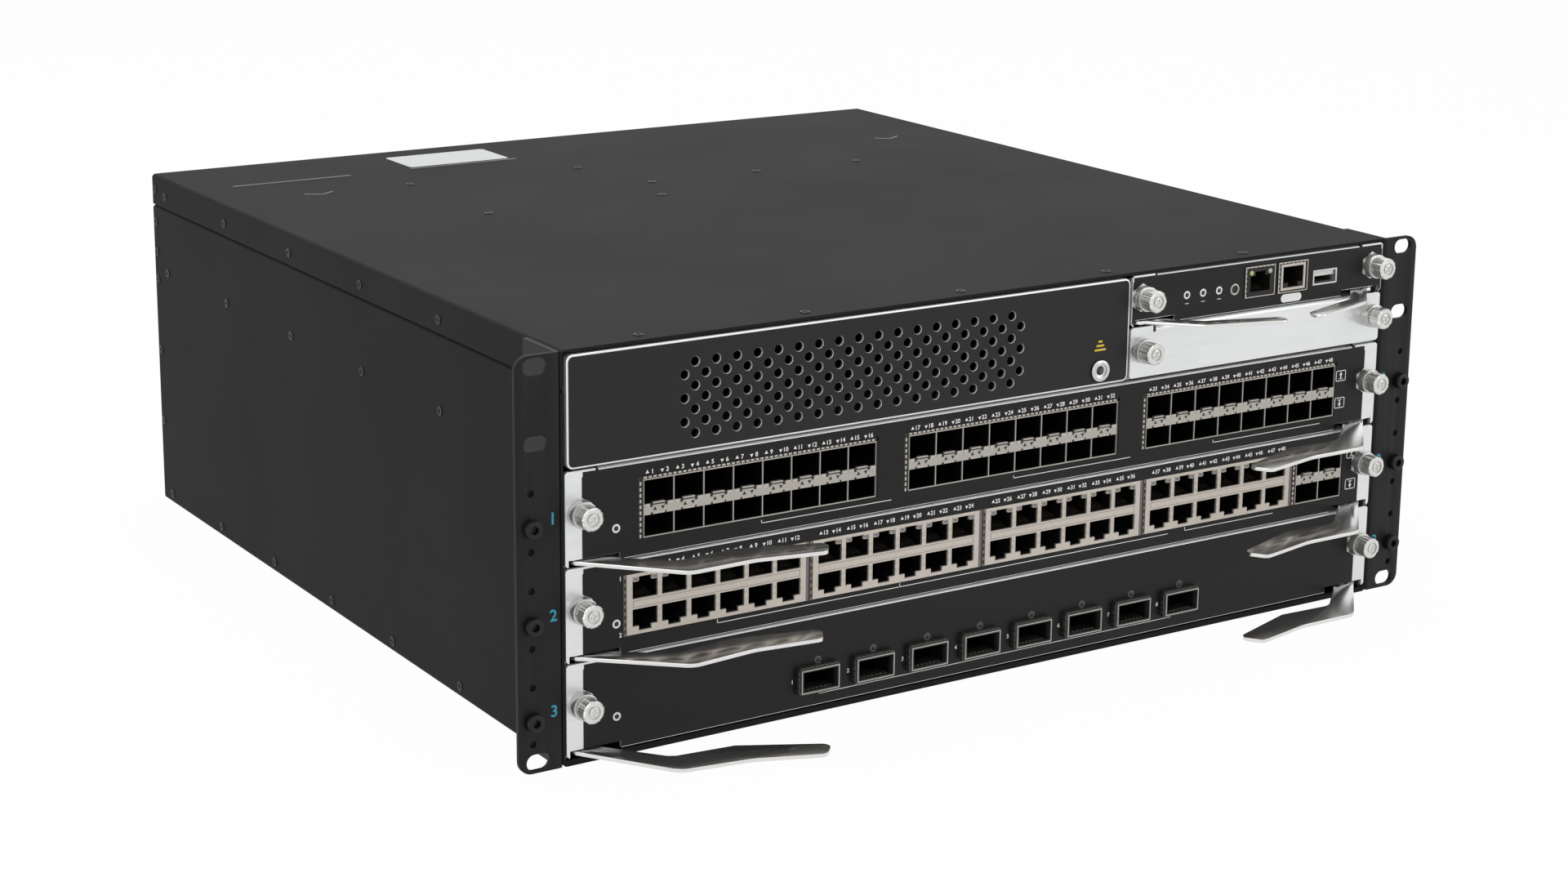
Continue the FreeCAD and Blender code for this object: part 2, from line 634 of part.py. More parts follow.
def inlet_panel():
    """Tray-shaped front panel with staggered air holes."""
    x = (-PANEL_HALF + 0.7, DIVIDER_X - DIVIDER_SHEET / 2 - 0.25)
    z = (TOP_BAY + 0.2, BAY_TOP - 0.5)
    front = FACE - INLET_PROUD
    shell = front_prism(rectangle(x, z, -INLET_CORNER), (front, front + INLET_DEPTH))
    rim = [e for e in shell.Edges if all(abs(v.Y - front) < 1e-6 for v in e.Vertexes)]
    shell = shell.makeChamfer(INLET_EDGE, rim)
    inside = rectangle((x[0] + SHEET, x[1] - SHEET), (z[0] + SHEET, z[1] - SHEET), SHEET - INLET_CORNER)
    hollow = front_prism(inside, (front + SHEET, front + INLET_DEPTH + CUT))
    through = (front - 1, front + SHEET + 1)
    tools = [hollow, bore(JACK_X, TOP_BAY + JACK_RISE, JACK_BARREL + 0.05, through, 8)]
    row_pitch = (z[1] - z[0] - HOLE_DROP - HOLE_FOOT) / 2.5
    for column in range(HOLE_COLUMNS):
        odd = column % 2
        top = z[1] - HOLE_DROP + odd * row_pitch / 2
        for row in range(3 + odd):
            x_hole = HOLE_FIRST_X + column * HOLE_PITCH
            z_hole = top - row * row_pitch
            tools.append(box((x_hole - AIR_HOLE / 2, x_hole + AIR_HOLE / 2), through,
                             (z_hole - AIR_HOLE / 2, z_hole + AIR_HOLE / 2)))
    return cut_all(shell, tools)


def earth_jack():
    """Turned socket for a wrist-strap plug, flanged in front and nutted behind."""
    z = TOP_BAY + JACK_RISE
    front = FACE - INLET_PROUD
    flange = rod(JACK_X, z, JACK_FLANGE, (front - 1.4, front))
    barrel = rod(JACK_X, z, JACK_BARREL, (front, front + JACK_LENGTH), 8)
    nut = rod(JACK_X, z, JACK_FLANGE, (front + SHEET, front + SHEET + 2.5), 6)
    return flange.fuse([barrel, nut]).cut(bore(JACK_X, z, JACK_BORE, (front - 2, front + JACK_LENGTH - 2)))


# ---- Panels, screws and levers that the modules share ----------------------------------------

def thumb_screw(x, z):
    """Captive screw with a turned knob, facing forwards."""
    root = FACE - FERRULE_LENGTH - FIT
    knob = rod(x, z, KNOB_RADIUS, (root - KNOB_LENGTH, root))
    shank = rod(x, z, SHANK_RADIUS, (root, FACE + SHANK_END), PIN_SIDES)
    return knob.fuse(shank)


def ferrule(x, z):
    """Bush pressed into a panel around a thumb screw."""
    return rod(x, z, FERRULE_RADIUS, (FACE - FERRULE_LENGTH, FACE))


def ferrule_bore(x, z):
    """Hole through a bush and its panel."""
    return bore(x, z, FERRULE_BORE, (FACE - FERRULE_LENGTH - 1, FACE + PANEL_SHEET + 1))


def lever_slot(edge, way, base):
    """Notch in a panel's lower edge for a lever; way points from the edge to the middle."""
    pivot = edge + way * PIVOT_INSET
    ends = sorted((pivot - way * LEVER_SLOT_REACH[0], pivot + way * LEVER_SLOT_REACH[1]))
    return box(ends, (FACE - 1, FACE + PANEL_SHEET + 0.01), (base - 1, base + LEVER_SLOT_RISE))


def pivot_lug(edge, way, base):
    """Lug and rivet that carry a lever behind its panel."""
    x = edge + way * PIVOT_INSET
    ends = sorted((x - way * (PIVOT_HEAD + 1.2), x + way * (PIVOT_INSET + 2)))
    plate = (base + TRAY_RISE, base + TRAY_RISE + SHEET)
    lug = box(ends, (FACE + PANEL_SHEET, PIVOT_Y + PIVOT_HEAD + 2.4), plate)
    low = base + LEVER_RISE - FIT
    post = pin(x, PIVOT_Y, PIVOT_RADIUS, (low, base + TRAY_RISE))
    head = pin(x, PIVOT_Y, PIVOT_HEAD, (low - PIVOT_HEAD_DEPTH, low))
    return [lug, post, head]


def panel_sheet(x, base, height, inset):
    """Front sheet with its top edge folded back between two relief notches."""
    top = base + height
    notch = top - RELIEF_DEPTH
    span = (x[0] + inset, x[1] - inset)
    outline = [(x[0], base, -PANEL_CORNER), (x[1], base, -PANEL_CORNER), (x[1], top, -PANEL_CORNER),
               (span[1] + RELIEF, top, 0), (span[1] + RELIEF, notch, 0), (span[0] - RELIEF, notch, 0),
               (span[0] - RELIEF, top, 0), (x[0], top, -PANEL_CORNER)]
    flat = front_prism(outline, (FACE, FACE + PANEL_SHEET))
    fold = [(FACE, notch, 0), (FACE, top, BEND), (FACE + FLANGE_DEPTH, top, 0),
            (FACE + FLANGE_DEPTH, top - PANEL_SHEET, 0), (FACE + PANEL_SHEET, top - PANEL_SHEET, 0),
            (FACE + PANEL_SHEET, notch, 0)]
    return flat.fuse(side_prism(fold, span))


def module_tray():
    """Both edges of the control module's tray."""
    return MODULE_LEFT + BRACKET_REACH + 0.2, TRAY_HALF


def slide_panel(x, base, height, inset, screws, tray, windows, board_rise=BOARD_RISE):
    """Panel of a module with its tray, bushes, lever lugs and openings."""
    sheet = panel_sheet(x, base, height, inset)
    rise = (base + TRAY_RISE, base + TRAY_RISE + SHEET)
    pieces = [sheet, box(tray, (FACE + PANEL_SHEET, FACE + TRAY_DEPTH), rise)]
    for edge, way in ((x[0], 1), (x[1], -1)):
        pieces += pivot_lug(edge, way, base)
    for place in screws:
        pieces.append(ferrule(*place))
    for y in (FACE + FRONT_RAIL, FACE + TRAY_DEPTH - REAR_RAIL):
        pieces.append(box((tray[0] + 8, tray[1] - 8), (y, y + RAIL), (rise[1], base + board_rise)))
    tools = [ferrule_bore(*place) for place in screws]
    tools += [lever_slot(x[0], 1, base), lever_slot(x[1], -1, base)]
    tools += [box(a, (FACE - 1, FACE + PANEL_SHEET + 1), b) for a, b in windows]
    return cut_all(fused(pieces), tools)


def overlay(x, base, height, screws, windows, holes=()):
    """Dark film on a panel, cut away round everything that passes through it."""
    y = (FACE - OVERLAY, FACE)
    film = front_prism(rectangle(x, (base + 0.3, base + height - OVERLAY_DROP), -PANEL_CORNER), y)
    tools = [bore(a, b, FERRULE_RADIUS + FIT, (y[0] - 1, y[1] + 1)) for a, b in screws]
    tools += [box(a, (y[0] - 1, y[1] + 1), b) for a, b in windows]
    tools += [bore(a, b, r, (y[0] - 1, y[1] + 1)) for a, b, r in holes]
    return cut_all(film, tools)


def slot_window(edge, way, base):
    """The part of a lever's notch that the film leaves clear."""
    pivot = edge + way * PIVOT_INSET
    ends = tuple(sorted((pivot - way * LEVER_SLOT_REACH[0], pivot + way * LEVER_SLOT_REACH[1])))
    return ends, (base - 1, base + LEVER_SLOT_RISE)


def lever_outline(short):
    """Corners of a lever's arm about its pivot, from the outer edge round to the inner one."""
    if short:
        return ([SHORT_LEVER_START[1] + (0,), SHORT_LEVER_BEND] + list(SHORT_LEVER_TIP)
                + [SHORT_LEVER_ELBOW, SHORT_LEVER_START[0] + (0,)])
    return ([LEVER_START[1] + (0,), LEVER_BEND, LEVER_MIDDLE] + list(LEVER_TIP)
            + [LEVER_KINK, LEVER_ELBOW, LEVER_START[0] + (0,)])


def lever(pivot_x, way, base, turn=0.0, short=False):
    """Flat ejector lever with a claw at its pivot, cranked forwards and then along its panel."""
    z = (base + LEVER_RISE, base + LEVER_RISE + LEVER_SHEET)
    arm = plan_prism([(u, -w, r) for u, w, r in lever_outline(short)], z)
    hub = pin(0, 0, LEVER_HUB, z, 8)
    wide, deep = LEVER_MOUTH
    mouth = box((-LEVER_HUB - 1, -LEVER_HUB + deep), (-wide / 2, wide / 2), (z[0] - 1, z[1] + 1))
    eye = plan_prism(regular(0, 0, PIVOT_RADIUS + PIVOT_CLEARANCE, PIN_SIDES, True), (z[0] - 1, z[1] + 1))
    mouth.rotate(Vector(0, 0, 0), Vector(0, 0, 1), MOUTH_TURN)
    shape = arm.fuse(hub).removeSplitter().cut([mouth, eye])
    shape.rotate(Vector(0, 0, 0), Vector(0, 0, 1), -turn)
    if way < 0:
        shape = mirrored(shape)
    shape.translate(Vector(pivot_x, PIVOT_Y, 0))
    return shape


def circuit_board(tray, base, blocks, board_rise=BOARD_RISE):
    """Board on its rails with its plugs and the blocks that stand on it."""
    z = (base + board_rise, base + board_rise + BOARD_SHEET)
    x = (tray[0] + BOARD_INSET, tray[1] - BOARD_INSET)
    rear = FACE + BACKPLANE_SETBACK - PLUG_DEPTH
    pieces = [box(x, (FACE + PANEL_SHEET + 1, FACE + TRAY_DEPTH - 4), z)]
    for place in plug_places(*tray):
        pieces.append(box(place, (rear - 10, rear + 5.7), (z[0], z[1] + 12)))
    for a, b, height in blocks:
        pieces.append(box(a, b, (z[1], z[1] + height)))
    return fused(pieces)


def heat_sink(x, y):
    """Blocks of a finned heat sink: its foot and its fins."""
    size, height = SINK_SIZE
    blocks = [((x, x + size), (y, y + size), SINK_FOOT)]
    step = (size - SINK_FIN) / (SINK_FINS - 1)
    fins = [x + i * step for i in range(SINK_FINS)]
    blocks += [((fin, fin + SINK_FIN), (y, y + size), height) for fin in fins]
    return blocks


# ---- Line cards -----------------------------------------------------------------------------

def cage_windows(first, count, columns, pitch, base):
    """Panel openings for groups of stacked cages."""
    left, right, top = CAGE_COLLAR
    windows = []
    for i in range(count):
        x = first + i * pitch
        windows.append(((x - left - WINDOW_GAP, x + columns * CAGE_PITCH + right + WINDOW_GAP),
                        (base + CAGE_RISE - WINDOW_GAP, base + CAGE_RISE + CAGE_HEIGHT + top / 2 + WINDOW_GAP)))
    return windows


def stacked_cage(x, columns, base):
    """Ganged cage, two sockets high, with a spring collar at its mouth."""
    left, right, top = CAGE_COLLAR
    width = columns * CAGE_PITCH
    low = base + CAGE_RISE
    body = box((x, x + width), (FACE - OVERLAY, FACE + CAGE_DEPTH), (low, low + CAGE_HEIGHT))
    collar_z = (low, low + CAGE_HEIGHT + top / 2)
    collar = box((x - left, x + width + right), (FACE, FACE + PANEL_SHEET + 1), collar_z)
    tools = []
    rows = ((low + CAGE_WALL, low + CAGE_WALL + CAGE_LOW_ROW),
            (low + CAGE_WALL + CAGE_LOW_ROW + CAGE_BAR, low + CAGE_HEIGHT - CAGE_WALL))
    for column in range(columns):
        left_wall = x + column * CAGE_PITCH + CAGE_WALL / 2
        for row in rows:
            tools.append(box((left_wall, left_wall + CAGE_PITCH - CAGE_WALL),
                             (FACE - 2, FACE + CAGE_DEPTH - CAGE_WALL), row))
    return cut_all(body.fuse(collar), tools)


def jack_port(x, low, up):
    """Outline of a twisted-pair port, its key above or below, as corners."""
    key = (PORT_WIDTH - PORT_KEY_WIDTH) / 2
    plain = [(0, 0), (PORT_WIDTH, 0), (PORT_WIDTH, PORT_HEIGHT), (PORT_WIDTH - key, PORT_HEIGHT),
             (PORT_WIDTH - key, PORT_HEIGHT + PORT_KEY_HEIGHT), (key, PORT_HEIGHT + PORT_KEY_HEIGHT),
             (key, PORT_HEIGHT), (0, PORT_HEIGHT)]
    if up:
        return [(x + a, low + b, 0) for a, b in plain]
    return [(x + a, low + PORT_HEIGHT + PORT_KEY_HEIGHT - b, 0) for a, b in plain]


def block_rows(base):
    """Underside of the lower and upper ports of a jack block."""
    middle = base + CAGE_RISE + BLOCK_HEIGHT / 2
    return middle - PORT_BAR / 2 - PORT_HEIGHT - PORT_KEY_HEIGHT, middle + PORT_BAR / 2


def jack_block(x, base):
    """Ganged jack block, two rows of six."""
    body = box((x, x + BLOCK_WIDTH), (FACE - OVERLAY, FACE + BLOCK_DEPTH),
               (base + CAGE_RISE, base + CAGE_RISE + BLOCK_HEIGHT))
    side = (BLOCK_WIDTH - (BLOCK_PORTS - 1) * PORT_PITCH - PORT_WIDTH) / 2
    low, high = block_rows(base)
    tools = []
    for port in range(BLOCK_PORTS):
        left = x + side + port * PORT_PITCH
        for start, up in ((low, False), (high, True)):
            tools.append(front_prism(jack_port(left, start, up), (FACE - 1, FACE + PORT_DEPTH)))
    return cut_all(body, tools)


def wide_cage(x, base):
    """Wide cage that stands proud of the panel, with a spring collar at the panel."""
    z = (base + WIDE_RISE, base + WIDE_RISE + WIDE_HEIGHT)
    body = box((x, x + WIDE_WIDTH), (FACE - WIDE_PROUD, FACE + WIDE_DEPTH), z)
    collar = box((x - WIDE_COLLAR, x + WIDE_WIDTH + WIDE_COLLAR), (FACE - WIDE_PROUD + 1, FACE - OVERLAY),
                 (z[0] - WIDE_COLLAR, z[1] + WIDE_COLLAR))
    inside = (FACE - WIDE_PROUD - 1, FACE + WIDE_DEPTH - WIDE_WALL)
    hollow = box((x + WIDE_WALL, x + WIDE_WIDTH - WIDE_WALL), inside, (z[0] + WIDE_WALL, z[1] - WIDE_WALL))
    return body.fuse(collar).cut(hollow)


def card_screws(base):
    """Centres of a line card's two thumb screws."""
    return [(way * (PANEL_HALF - SCREW_INSET), base + SCREW_RISE) for way in (-1, 1)]


def card_windows(number):
    """Openings in a line card's panel and film."""
    base = card_base(number)
    if number == 1:
        return cage_windows(FIRST_CAGE_X, CAGE_GROUPS, CAGE_COLUMNS, CAGE_GROUP_PITCH, base)
    if number == 2:
        spans = [(BLOCK_FIRST_X + i * BLOCK_PITCH, BLOCK_WIDTH) for i in range(BLOCK_COUNT)]
        rise = (base + CAGE_RISE - WINDOW_GAP, base + CAGE_RISE + BLOCK_HEIGHT + WINDOW_GAP)
        blocks = [((x - WINDOW_GAP, x + w + WINDOW_GAP), rise) for x, w in spans]
        return blocks + cage_windows(UPLINK_X, 1, UPLINK_COLUMNS, 0, base)
    rise = (base + WIDE_RISE - WINDOW_GAP, base + WIDE_RISE + WIDE_HEIGHT + WINDOW_GAP)
    places = [WIDE_FIRST_X + i * WIDE_PITCH for i in range(WIDE_COUNT)]
    return [((x - WINDOW_GAP, x + WIDE_WIDTH + WINDOW_GAP), rise) for x in places]


def card_sockets(number):
    """The cages or jack blocks of a line card, by node name."""
    base = card_base(number)
    if number == 1:
        places = [FIRST_CAGE_X + i * CAGE_GROUP_PITCH for i in range(CAGE_GROUPS)]
        cages = [stacked_cage(x, CAGE_COLUMNS, base) for x in places]
        return {"card_1_cages": Part.makeCompound(cages)}
    if number == 2:
        blocks = [jack_block(BLOCK_FIRST_X + i * BLOCK_PITCH, base) for i in range(BLOCK_COUNT)]
        return {"card_2_jacks": Part.makeCompound(blocks),
                "card_2_cage": stacked_cage(UPLINK_X, UPLINK_COLUMNS, base)}
    cages = [wide_cage(WIDE_FIRST_X + i * WIDE_PITCH, base) for i in range(WIDE_COUNT)]
    return {"card_3_cages": Part.makeCompound(cages)}


def line_card(number):
    """Every node of one line card."""
    name = "card_%d" % number
    base = card_base(number)
    x = (-PANEL_HALF, PANEL_HALF)
    tray = (-TRAY_HALF, TRAY_HALF)
    screws = card_screws(base)
    windows = card_windows(number)
    film = (-PANEL_HALF + OVERLAY_INSET, PANEL_HALF - OVERLAY_INSET)
    notches = [slot_window(x[0], 1, base), slot_window(x[1], -1, base)]
    chips = heat_sink(SINK_PLACE[0], FACE + SINK_PLACE[1])
    nodes = {
        name + "_panel": slide_panel(x, base, CARD_HEIGHT, FLANGE_INSET, screws, tray, windows),
        name + "_overlay": overlay(film, base, CARD_HEIGHT, screws, windows + notches),
        name + "_board": circuit_board(tray, base, chips),
    }
    nodes.update(card_sockets(number))
    for side, way, screw in (("left", 1, screws[0]), ("right", -1, screws[1])):
        pivot = -way * (PANEL_HALF - PIVOT_INSET)
        turn = LEVER_TURNS.get("%s_%s" % (name, side), 0.0)
        nodes["%s_%s_lever" % (name, side)] = lever(pivot, way, base, turn)
        nodes["%s_%s_screw" % (name, side)] = thumb_screw(*screw)
    return nodes


# ---- Top bay modules ------------------------------------------------------------------------

def module_screws(base):
    """Centres of a top bay module's thumb screws."""
    return [(MODULE_LEFT + MODULE_SCREW_INSET, base + MODULE_SCREW_RISE),
            (PANEL_HALF - SCREW_INSET, base + MODULE_SCREW_RISE)]


def single_jack(x, base, up):
    """Shielded single jack."""
    low = base + JACK_BOX_RISE
    body = box((x, x + JACK_WIDTH), (FACE - OVERLAY - 0.4, FACE + BLOCK_DEPTH), (low, low + JACK_HEIGHT))
    rise = low + (JACK_HEIGHT - PORT_HEIGHT - PORT_KEY_HEIGHT) / 2
    port = jack_port(x + (JACK_WIDTH - PORT_WIDTH) / 2, rise, up)
    return body.cut(front_prism(port, (FACE - 2, FACE + PORT_DEPTH)))


def usb_port(base):
    """Shell of the serial-bus port with its tongue."""
    z = (base + USB_RISE, base + USB_RISE + USB_HEIGHT)
    shell = box((USB_X, USB_X + USB_WIDTH), (FACE - OVERLAY - 0.4, FACE + USB_DEPTH), z)
    inside = (USB_X + USB_WALL, USB_X + USB_WIDTH - USB_WALL)
    hollow = box(inside, (FACE - 2, FACE + USB_DEPTH - USB_WALL), (z[0] + USB_WALL, z[1] - USB_WALL))
    edge, near, under, over = USB_TONGUE
    width = (USB_X + edge, USB_X + USB_WIDTH - edge)
    tongue = box(width, (FACE + near, FACE + USB_DEPTH), (z[1] - under, z[1] - over))
    return shell.cut(hollow).fuse(tongue)


def control_windows(base):
    """Openings in the control module's panel and film."""
    jack = (base + JACK_BOX_RISE - WINDOW_GAP, base + JACK_BOX_RISE + JACK_HEIGHT + WINDOW_GAP)
    usb = (base + USB_RISE - WINDOW_GAP, base + USB_RISE + USB_HEIGHT + WINDOW_GAP)
    return [((MGMT_X - WINDOW_GAP, MGMT_X + JACK_WIDTH + WINDOW_GAP), jack),
            ((CONSOLE_X - WINDOW_GAP, CONSOLE_X + JACK_WIDTH + WINDOW_GAP), jack),
            ((USB_X - WINDOW_GAP, USB_X + USB_WIDTH + WINDOW_GAP), usb)]


def control_module():
    """Every node of the control module."""
    base = CONTROL_BASE
    x = (MODULE_LEFT, PANEL_HALF)
    tray = module_tray()
    screws = module_screws(base)
    windows = control_windows(base)
    guide_hole = (BUTTON_X, base + BUTTON_RISE, BUTTON_RADIUS + 0.2)
    hole = bore(*guide_hole, (FACE - 2, FACE + PANEL_SHEET + 1))
    back = FACE + BUTTON_LENGTH + BUTTON_TRAVEL
    switch = ((BUTTON_X - 3, BUTTON_X + 3), (back, back + 5), BUTTON_RISE + 3 - CONTROL_BOARD_RISE - BOARD_SHEET)
    notches = [slot_window(x[0], 1, base), slot_window(x[1], -1, base)]
    film = (x[0] + 0.5, x[1] - 0.5)
    jacks = [single_jack(MGMT_X, base, True), single_jack(CONSOLE_X, base, False)]
    nodes = {
        "control_panel": slide_panel(x, base, MODULE_HEIGHT, MODULE_FLANGE_INSET, screws, tray, windows,
                                     CONTROL_BOARD_RISE).cut(hole),
        "control_overlay": overlay(film, base, MODULE_HEIGHT, screws, windows + notches, [guide_hole]),
        "control_board": circuit_board(tray, base, [switch], CONTROL_BOARD_RISE),
        "control_jacks": Part.makeCompound(jacks),
        "control_usb_port": usb_port(base),
        "function_button": rod(BUTTON_X, base + BUTTON_RISE, BUTTON_RADIUS, (FACE + 0.2, FACE + BUTTON_LENGTH)),
        "control_left_lever": lever(x[0] + PIVOT_INSET, 1, base, 0.0, True),
        "control_right_lever": lever(x[1] - PIVOT_INSET, -1, base, 0.0, True),
        "control_left_screw": thumb_screw(*screws[0]),
        "control_right_screw": thumb_screw(*screws[1]),
    }
    return nodes


def filler():
    """Every node of the filler panel below the control module."""
    base = MODULE_BASE
    x = (MODULE_LEFT, PANEL_HALF)
    screws = module_screws(base)
    sheet = panel_sheet(x, base, MODULE_HEIGHT, MODULE_FLANGE_INSET)
    foot = box((x[0] + MODULE_FLANGE_INSET, x[1] - MODULE_FLANGE_INSET),
               (FACE + PANEL_SHEET, FACE + FLANGE_DEPTH), (base, base + PANEL_SHEET))
    pieces = [sheet, foot] + [ferrule(*place) for place in screws]
    panel = cut_all(fused(pieces), [ferrule_bore(*place) for place in screws])
    return {"filler_panel": panel, "filler_left_screw": thumb_screw(*screws[0]),
            "filler_right_screw": thumb_screw(*screws[1])}


# ---- Rear modules ---------------------------------------------------------------------------

def strap(x, z, length, reach):
    """Upright bent strap handle that stands off the rear, centred at (x, z)."""
    half = length / 2
    inner = half - HANDLE_STRAP
    bow = BACK + reach - HANDLE_STRAP
    outline = [(-half, BACK, 0), (-half, BACK + reach, -HANDLE_BEND), (half, BACK + reach, -HANDLE_BEND),
               (half, BACK, 0), (inner, BACK, 0), (inner, bow, -HANDLE_BEND / 2),
               (-inner, bow, -HANDLE_BEND / 2), (-inner, BACK, 0)]
    return side_prism([(y, z + a, r) for a, y, r in outline], (x - HANDLE_WIDTH / 2, x + HANDLE_WIDTH / 2))


def fan_height():
    """Height of the fan axes."""
    return (FAN_WINDOW[1] + FAN_WINDOW[2]) / 2


def fan_centres():
    """Where the fan axes lie along X."""
    return [(i - (FAN_COUNT - 1) / 2) * FAN_PITCH for i in range(FAN_COUNT)]


def fan_tray():
    """Rear plate with slotted finger guards, a folded floor and a strap handle."""
    wide, low, high = FAN_PLATE
    plate = front_prism(rectangle((-wide, wide), (low, high), -PANEL_CORNER), (BACK, BACK + SHEET))
    tools = []
    rows = int((GUARD_RADIUS - GUARD_SLOT / 2) // GUARD_PITCH)
    for x in fan_centres():
        for row in range(-rows, rows + 1):
            z = fan_height() + row * GUARD_PITCH
            half = math.sqrt(GUARD_RADIUS ** 2 - (abs(row) * GUARD_PITCH) ** 2) - 1
            slot = (z - GUARD_SLOT / 2, z + GUARD_SLOT / 2)
            tools.append(box((x - half, x + half), (BACK - 1, BACK + SHEET + 1), slot))
    place = (FAN_SCREW_X, fan_height())
    bush = rod(*place, FERRULE_RADIUS, (BACK + SHEET, BACK + SHEET + FERRULE_LENGTH))
    tools.append(bore(*place, FERRULE_BORE, (BACK - 1, BACK + SHEET + FERRULE_LENGTH + 1)))
    edge = FAN_WINDOW[0] - 1
    low = FAN_WINDOW[1] + 0.5
    floor = box((-edge, edge), (BACK - FAN_DEPTH - 5, BACK), (low, low + SHEET))
    length, reach = TRAY_HANDLE
    handle = strap(FAN_PITCH / 2, fan_height(), length, reach + SHEET)
    return cut_all(fused([plate, floor, bush, handle]), tools)


def fan_frames():
    """Square fan housings with round ducts; struts carry each motor and its axle."""
    frames = []
    half = FAN_SIZE / 2
    y = (BACK - FAN_DEPTH, BACK)
    strut_y = (y[0], y[0] + STRUT)
    z = fan_height()
    for x in fan_centres():
        frame = box((x - half, x + half), y, (z - half, z + half))
        frame = frame.cut(bore(x, z, FAN_DUCT, (y[0] - 1, y[1] + 1), DUCT_SIDES))
        motor = rod(x, z, FAN_HUB - 2, strut_y, 8)
        struts = [box((x - half, x + half), strut_y, (z - STRUT / 2, z + STRUT / 2))]
        axle = rod(x, z, FAN_AXLE, (y[0], y[0] + FAN_AXLE_LENGTH), PIN_SIDES)
        frames.append(fused([frame, motor, axle] + struts))
    return Part.makeCompound(frames)


def rotor(x):
    """Fan wheel: a cup hub with pitched blades."""
    z = fan_height()
    y = (BACK - FAN_DEPTH + STRUT + 1, BACK - FIT - FIT)
    middle = (y[0] + y[1]) / 2
    chord = (y[1] - y[0] - 2) / math.cos(math.radians(FAN_PITCH_ANGLE)) - FAN_BLADE
    blades = []
    for i in range(FAN_BLADES):
        blade = box((-FAN_BLADE / 2, FAN_BLADE / 2), (-chord / 2, chord / 2), (FAN_HUB / 2, FAN_TIP))
        blade.rotate(Vector(0, 0, 0), Vector(0, 0, 1), FAN_PITCH_ANGLE)
        blade.rotate(Vector(0, 0, 0), Vector(0, 1, 0), 360.0 * i / FAN_BLADES)
        blade.translate(Vector(x, middle, z))
        blades.append(blade)
    hub = rod(x, z, FAN_HUB, y)
    return hub.fuse(blades).cut(bore(x, z, FAN_AXLE + PIVOT_CLEARANCE, (y[0] - 1, y[1] - 3), ROUND_SIDES))


def fan_tray_screw():
    """The fan tray's thumb screw, facing backwards."""
    screw = thumb_screw(FAN_SCREW_X, fan_height())
    screw.rotate(Vector(FAN_SCREW_X, 0, fan_height()), Vector(0, 0, 1), 180)
    screw.translate(Vector(0, SHEET, 0))
    return screw


def supply_left(index):
    """Left side of a power supply."""
    return SUPPLY_FIRST_X + index * SUPPLY_PITCH


def latch_place(index):
    """Pivot of a power supply's latch, as (x, y)."""
    return supply_left(index) + SUPPLY_WIDTH - LATCH_INSET, BACK - LATCH_SETBACK


def power_supply(index):
    """Sheet case with a mains inlet, a vent field, a strap handle and a latch post."""
    left = supply_left(index)
    x = (left, left + SUPPLY_WIDTH)
    z = (SUPPLY_BASE, SUPPLY_BASE + SUPPLY_HEIGHT)
    case = box(x, (BACK - SUPPLY_DEPTH, BACK), z)
    t = SUPPLY_SHEET
    hollow = box((x[0] + t, x[1] - t), (BACK - SUPPLY_DEPTH + t, BACK - t), (z[0] + t, z[1] - t))
    off, rise, wide, tall, deep = POWER_INLET
    shell = box((x[0] + off, x[0] + off + wide), (BACK - deep, BACK + 2), (z[0] + rise, z[0] + rise + tall))
    inside = (x[0] + off + 3, x[0] + off + wide - 3)
    span = (z[0] + rise + 4, z[0] + rise + tall - 4)
    mouth = front_prism([(inside[0], span[0], 0), (inside[1], span[0], 0), (inside[1], span[1], -INLET_BEVEL),
                         (inside[0], span[1], -INLET_BEVEL)], (BACK - deep + 2, BACK + 3))
    tools = []
    for i in range(VENT_COUNT):
        slot = x[0] + off + wide + 9 + i * VENT_PITCH
        tools.append(box((slot, slot + VENT_WIDTH), (BACK - t - 1, BACK + 1), (z[0] + 6, z[1] - 6)))
    px, py = latch_place(index)
    middle = (z[0] + z[1]) / 2
    post_z = (middle - LATCH_HEIGHT / 2 - 2, middle - LATCH_HEIGHT / 2 - 0.2)
    post = box((px - 4, x[1] - t), (py - 4, py + 4), post_z)
    axle = pin(px, py, LATCH_PIN, (post_z[1], middle + LATCH_HEIGHT / 2 + 1))
    slot_z = (middle - LATCH_HEIGHT / 2 - 1, middle + LATCH_HEIGHT / 2 + 1)
    tools.append(box((px - 6, px + 3.5), (BACK - t - 1, BACK + 1), slot_z))
    hx, length, reach = SUPPLY_HANDLE
    grip = strap(x[0] + hx, middle, length, reach)
    case = case.cut(hollow).fuse([shell, grip]).cut(mouth)
    return cut_all(case, tools).fuse([post, axle])


def supply_latch(index):
    """Release tab that turns on its pin and hooks behind the case's rear wall."""
    px, py = latch_place(index)
    middle = SUPPLY_BASE + SUPPLY_HEIGHT / 2
    z = (middle - LATCH_HEIGHT / 2, middle + LATCH_HEIGHT / 2)
    half = LATCH_SHEET / 2
    kink = BACK + LATCH_REACH - LATCH_KINK
    hub = pin(px, py, LATCH_PIN + LATCH_SHEET, z)
    tip = BACK + LATCH_REACH
    tab = plan_prism([(px - half, py, 0), (px + half, py, 0), (px + half, kink, 0), (px + half - LATCH_KINK, tip, 0),
                      (px - half - LATCH_KINK, tip, 0), (px - half, kink, 0)], z)
    eye = plan_prism(regular(px, py, LATCH_PIN + PIVOT_CLEARANCE, ROUND_SIDES, True), (z[0] - 1, z[1] + 1))
    return hub.fuse(tab).cut(eye)


# ---- Output ---------------------------------------------------------------------------------

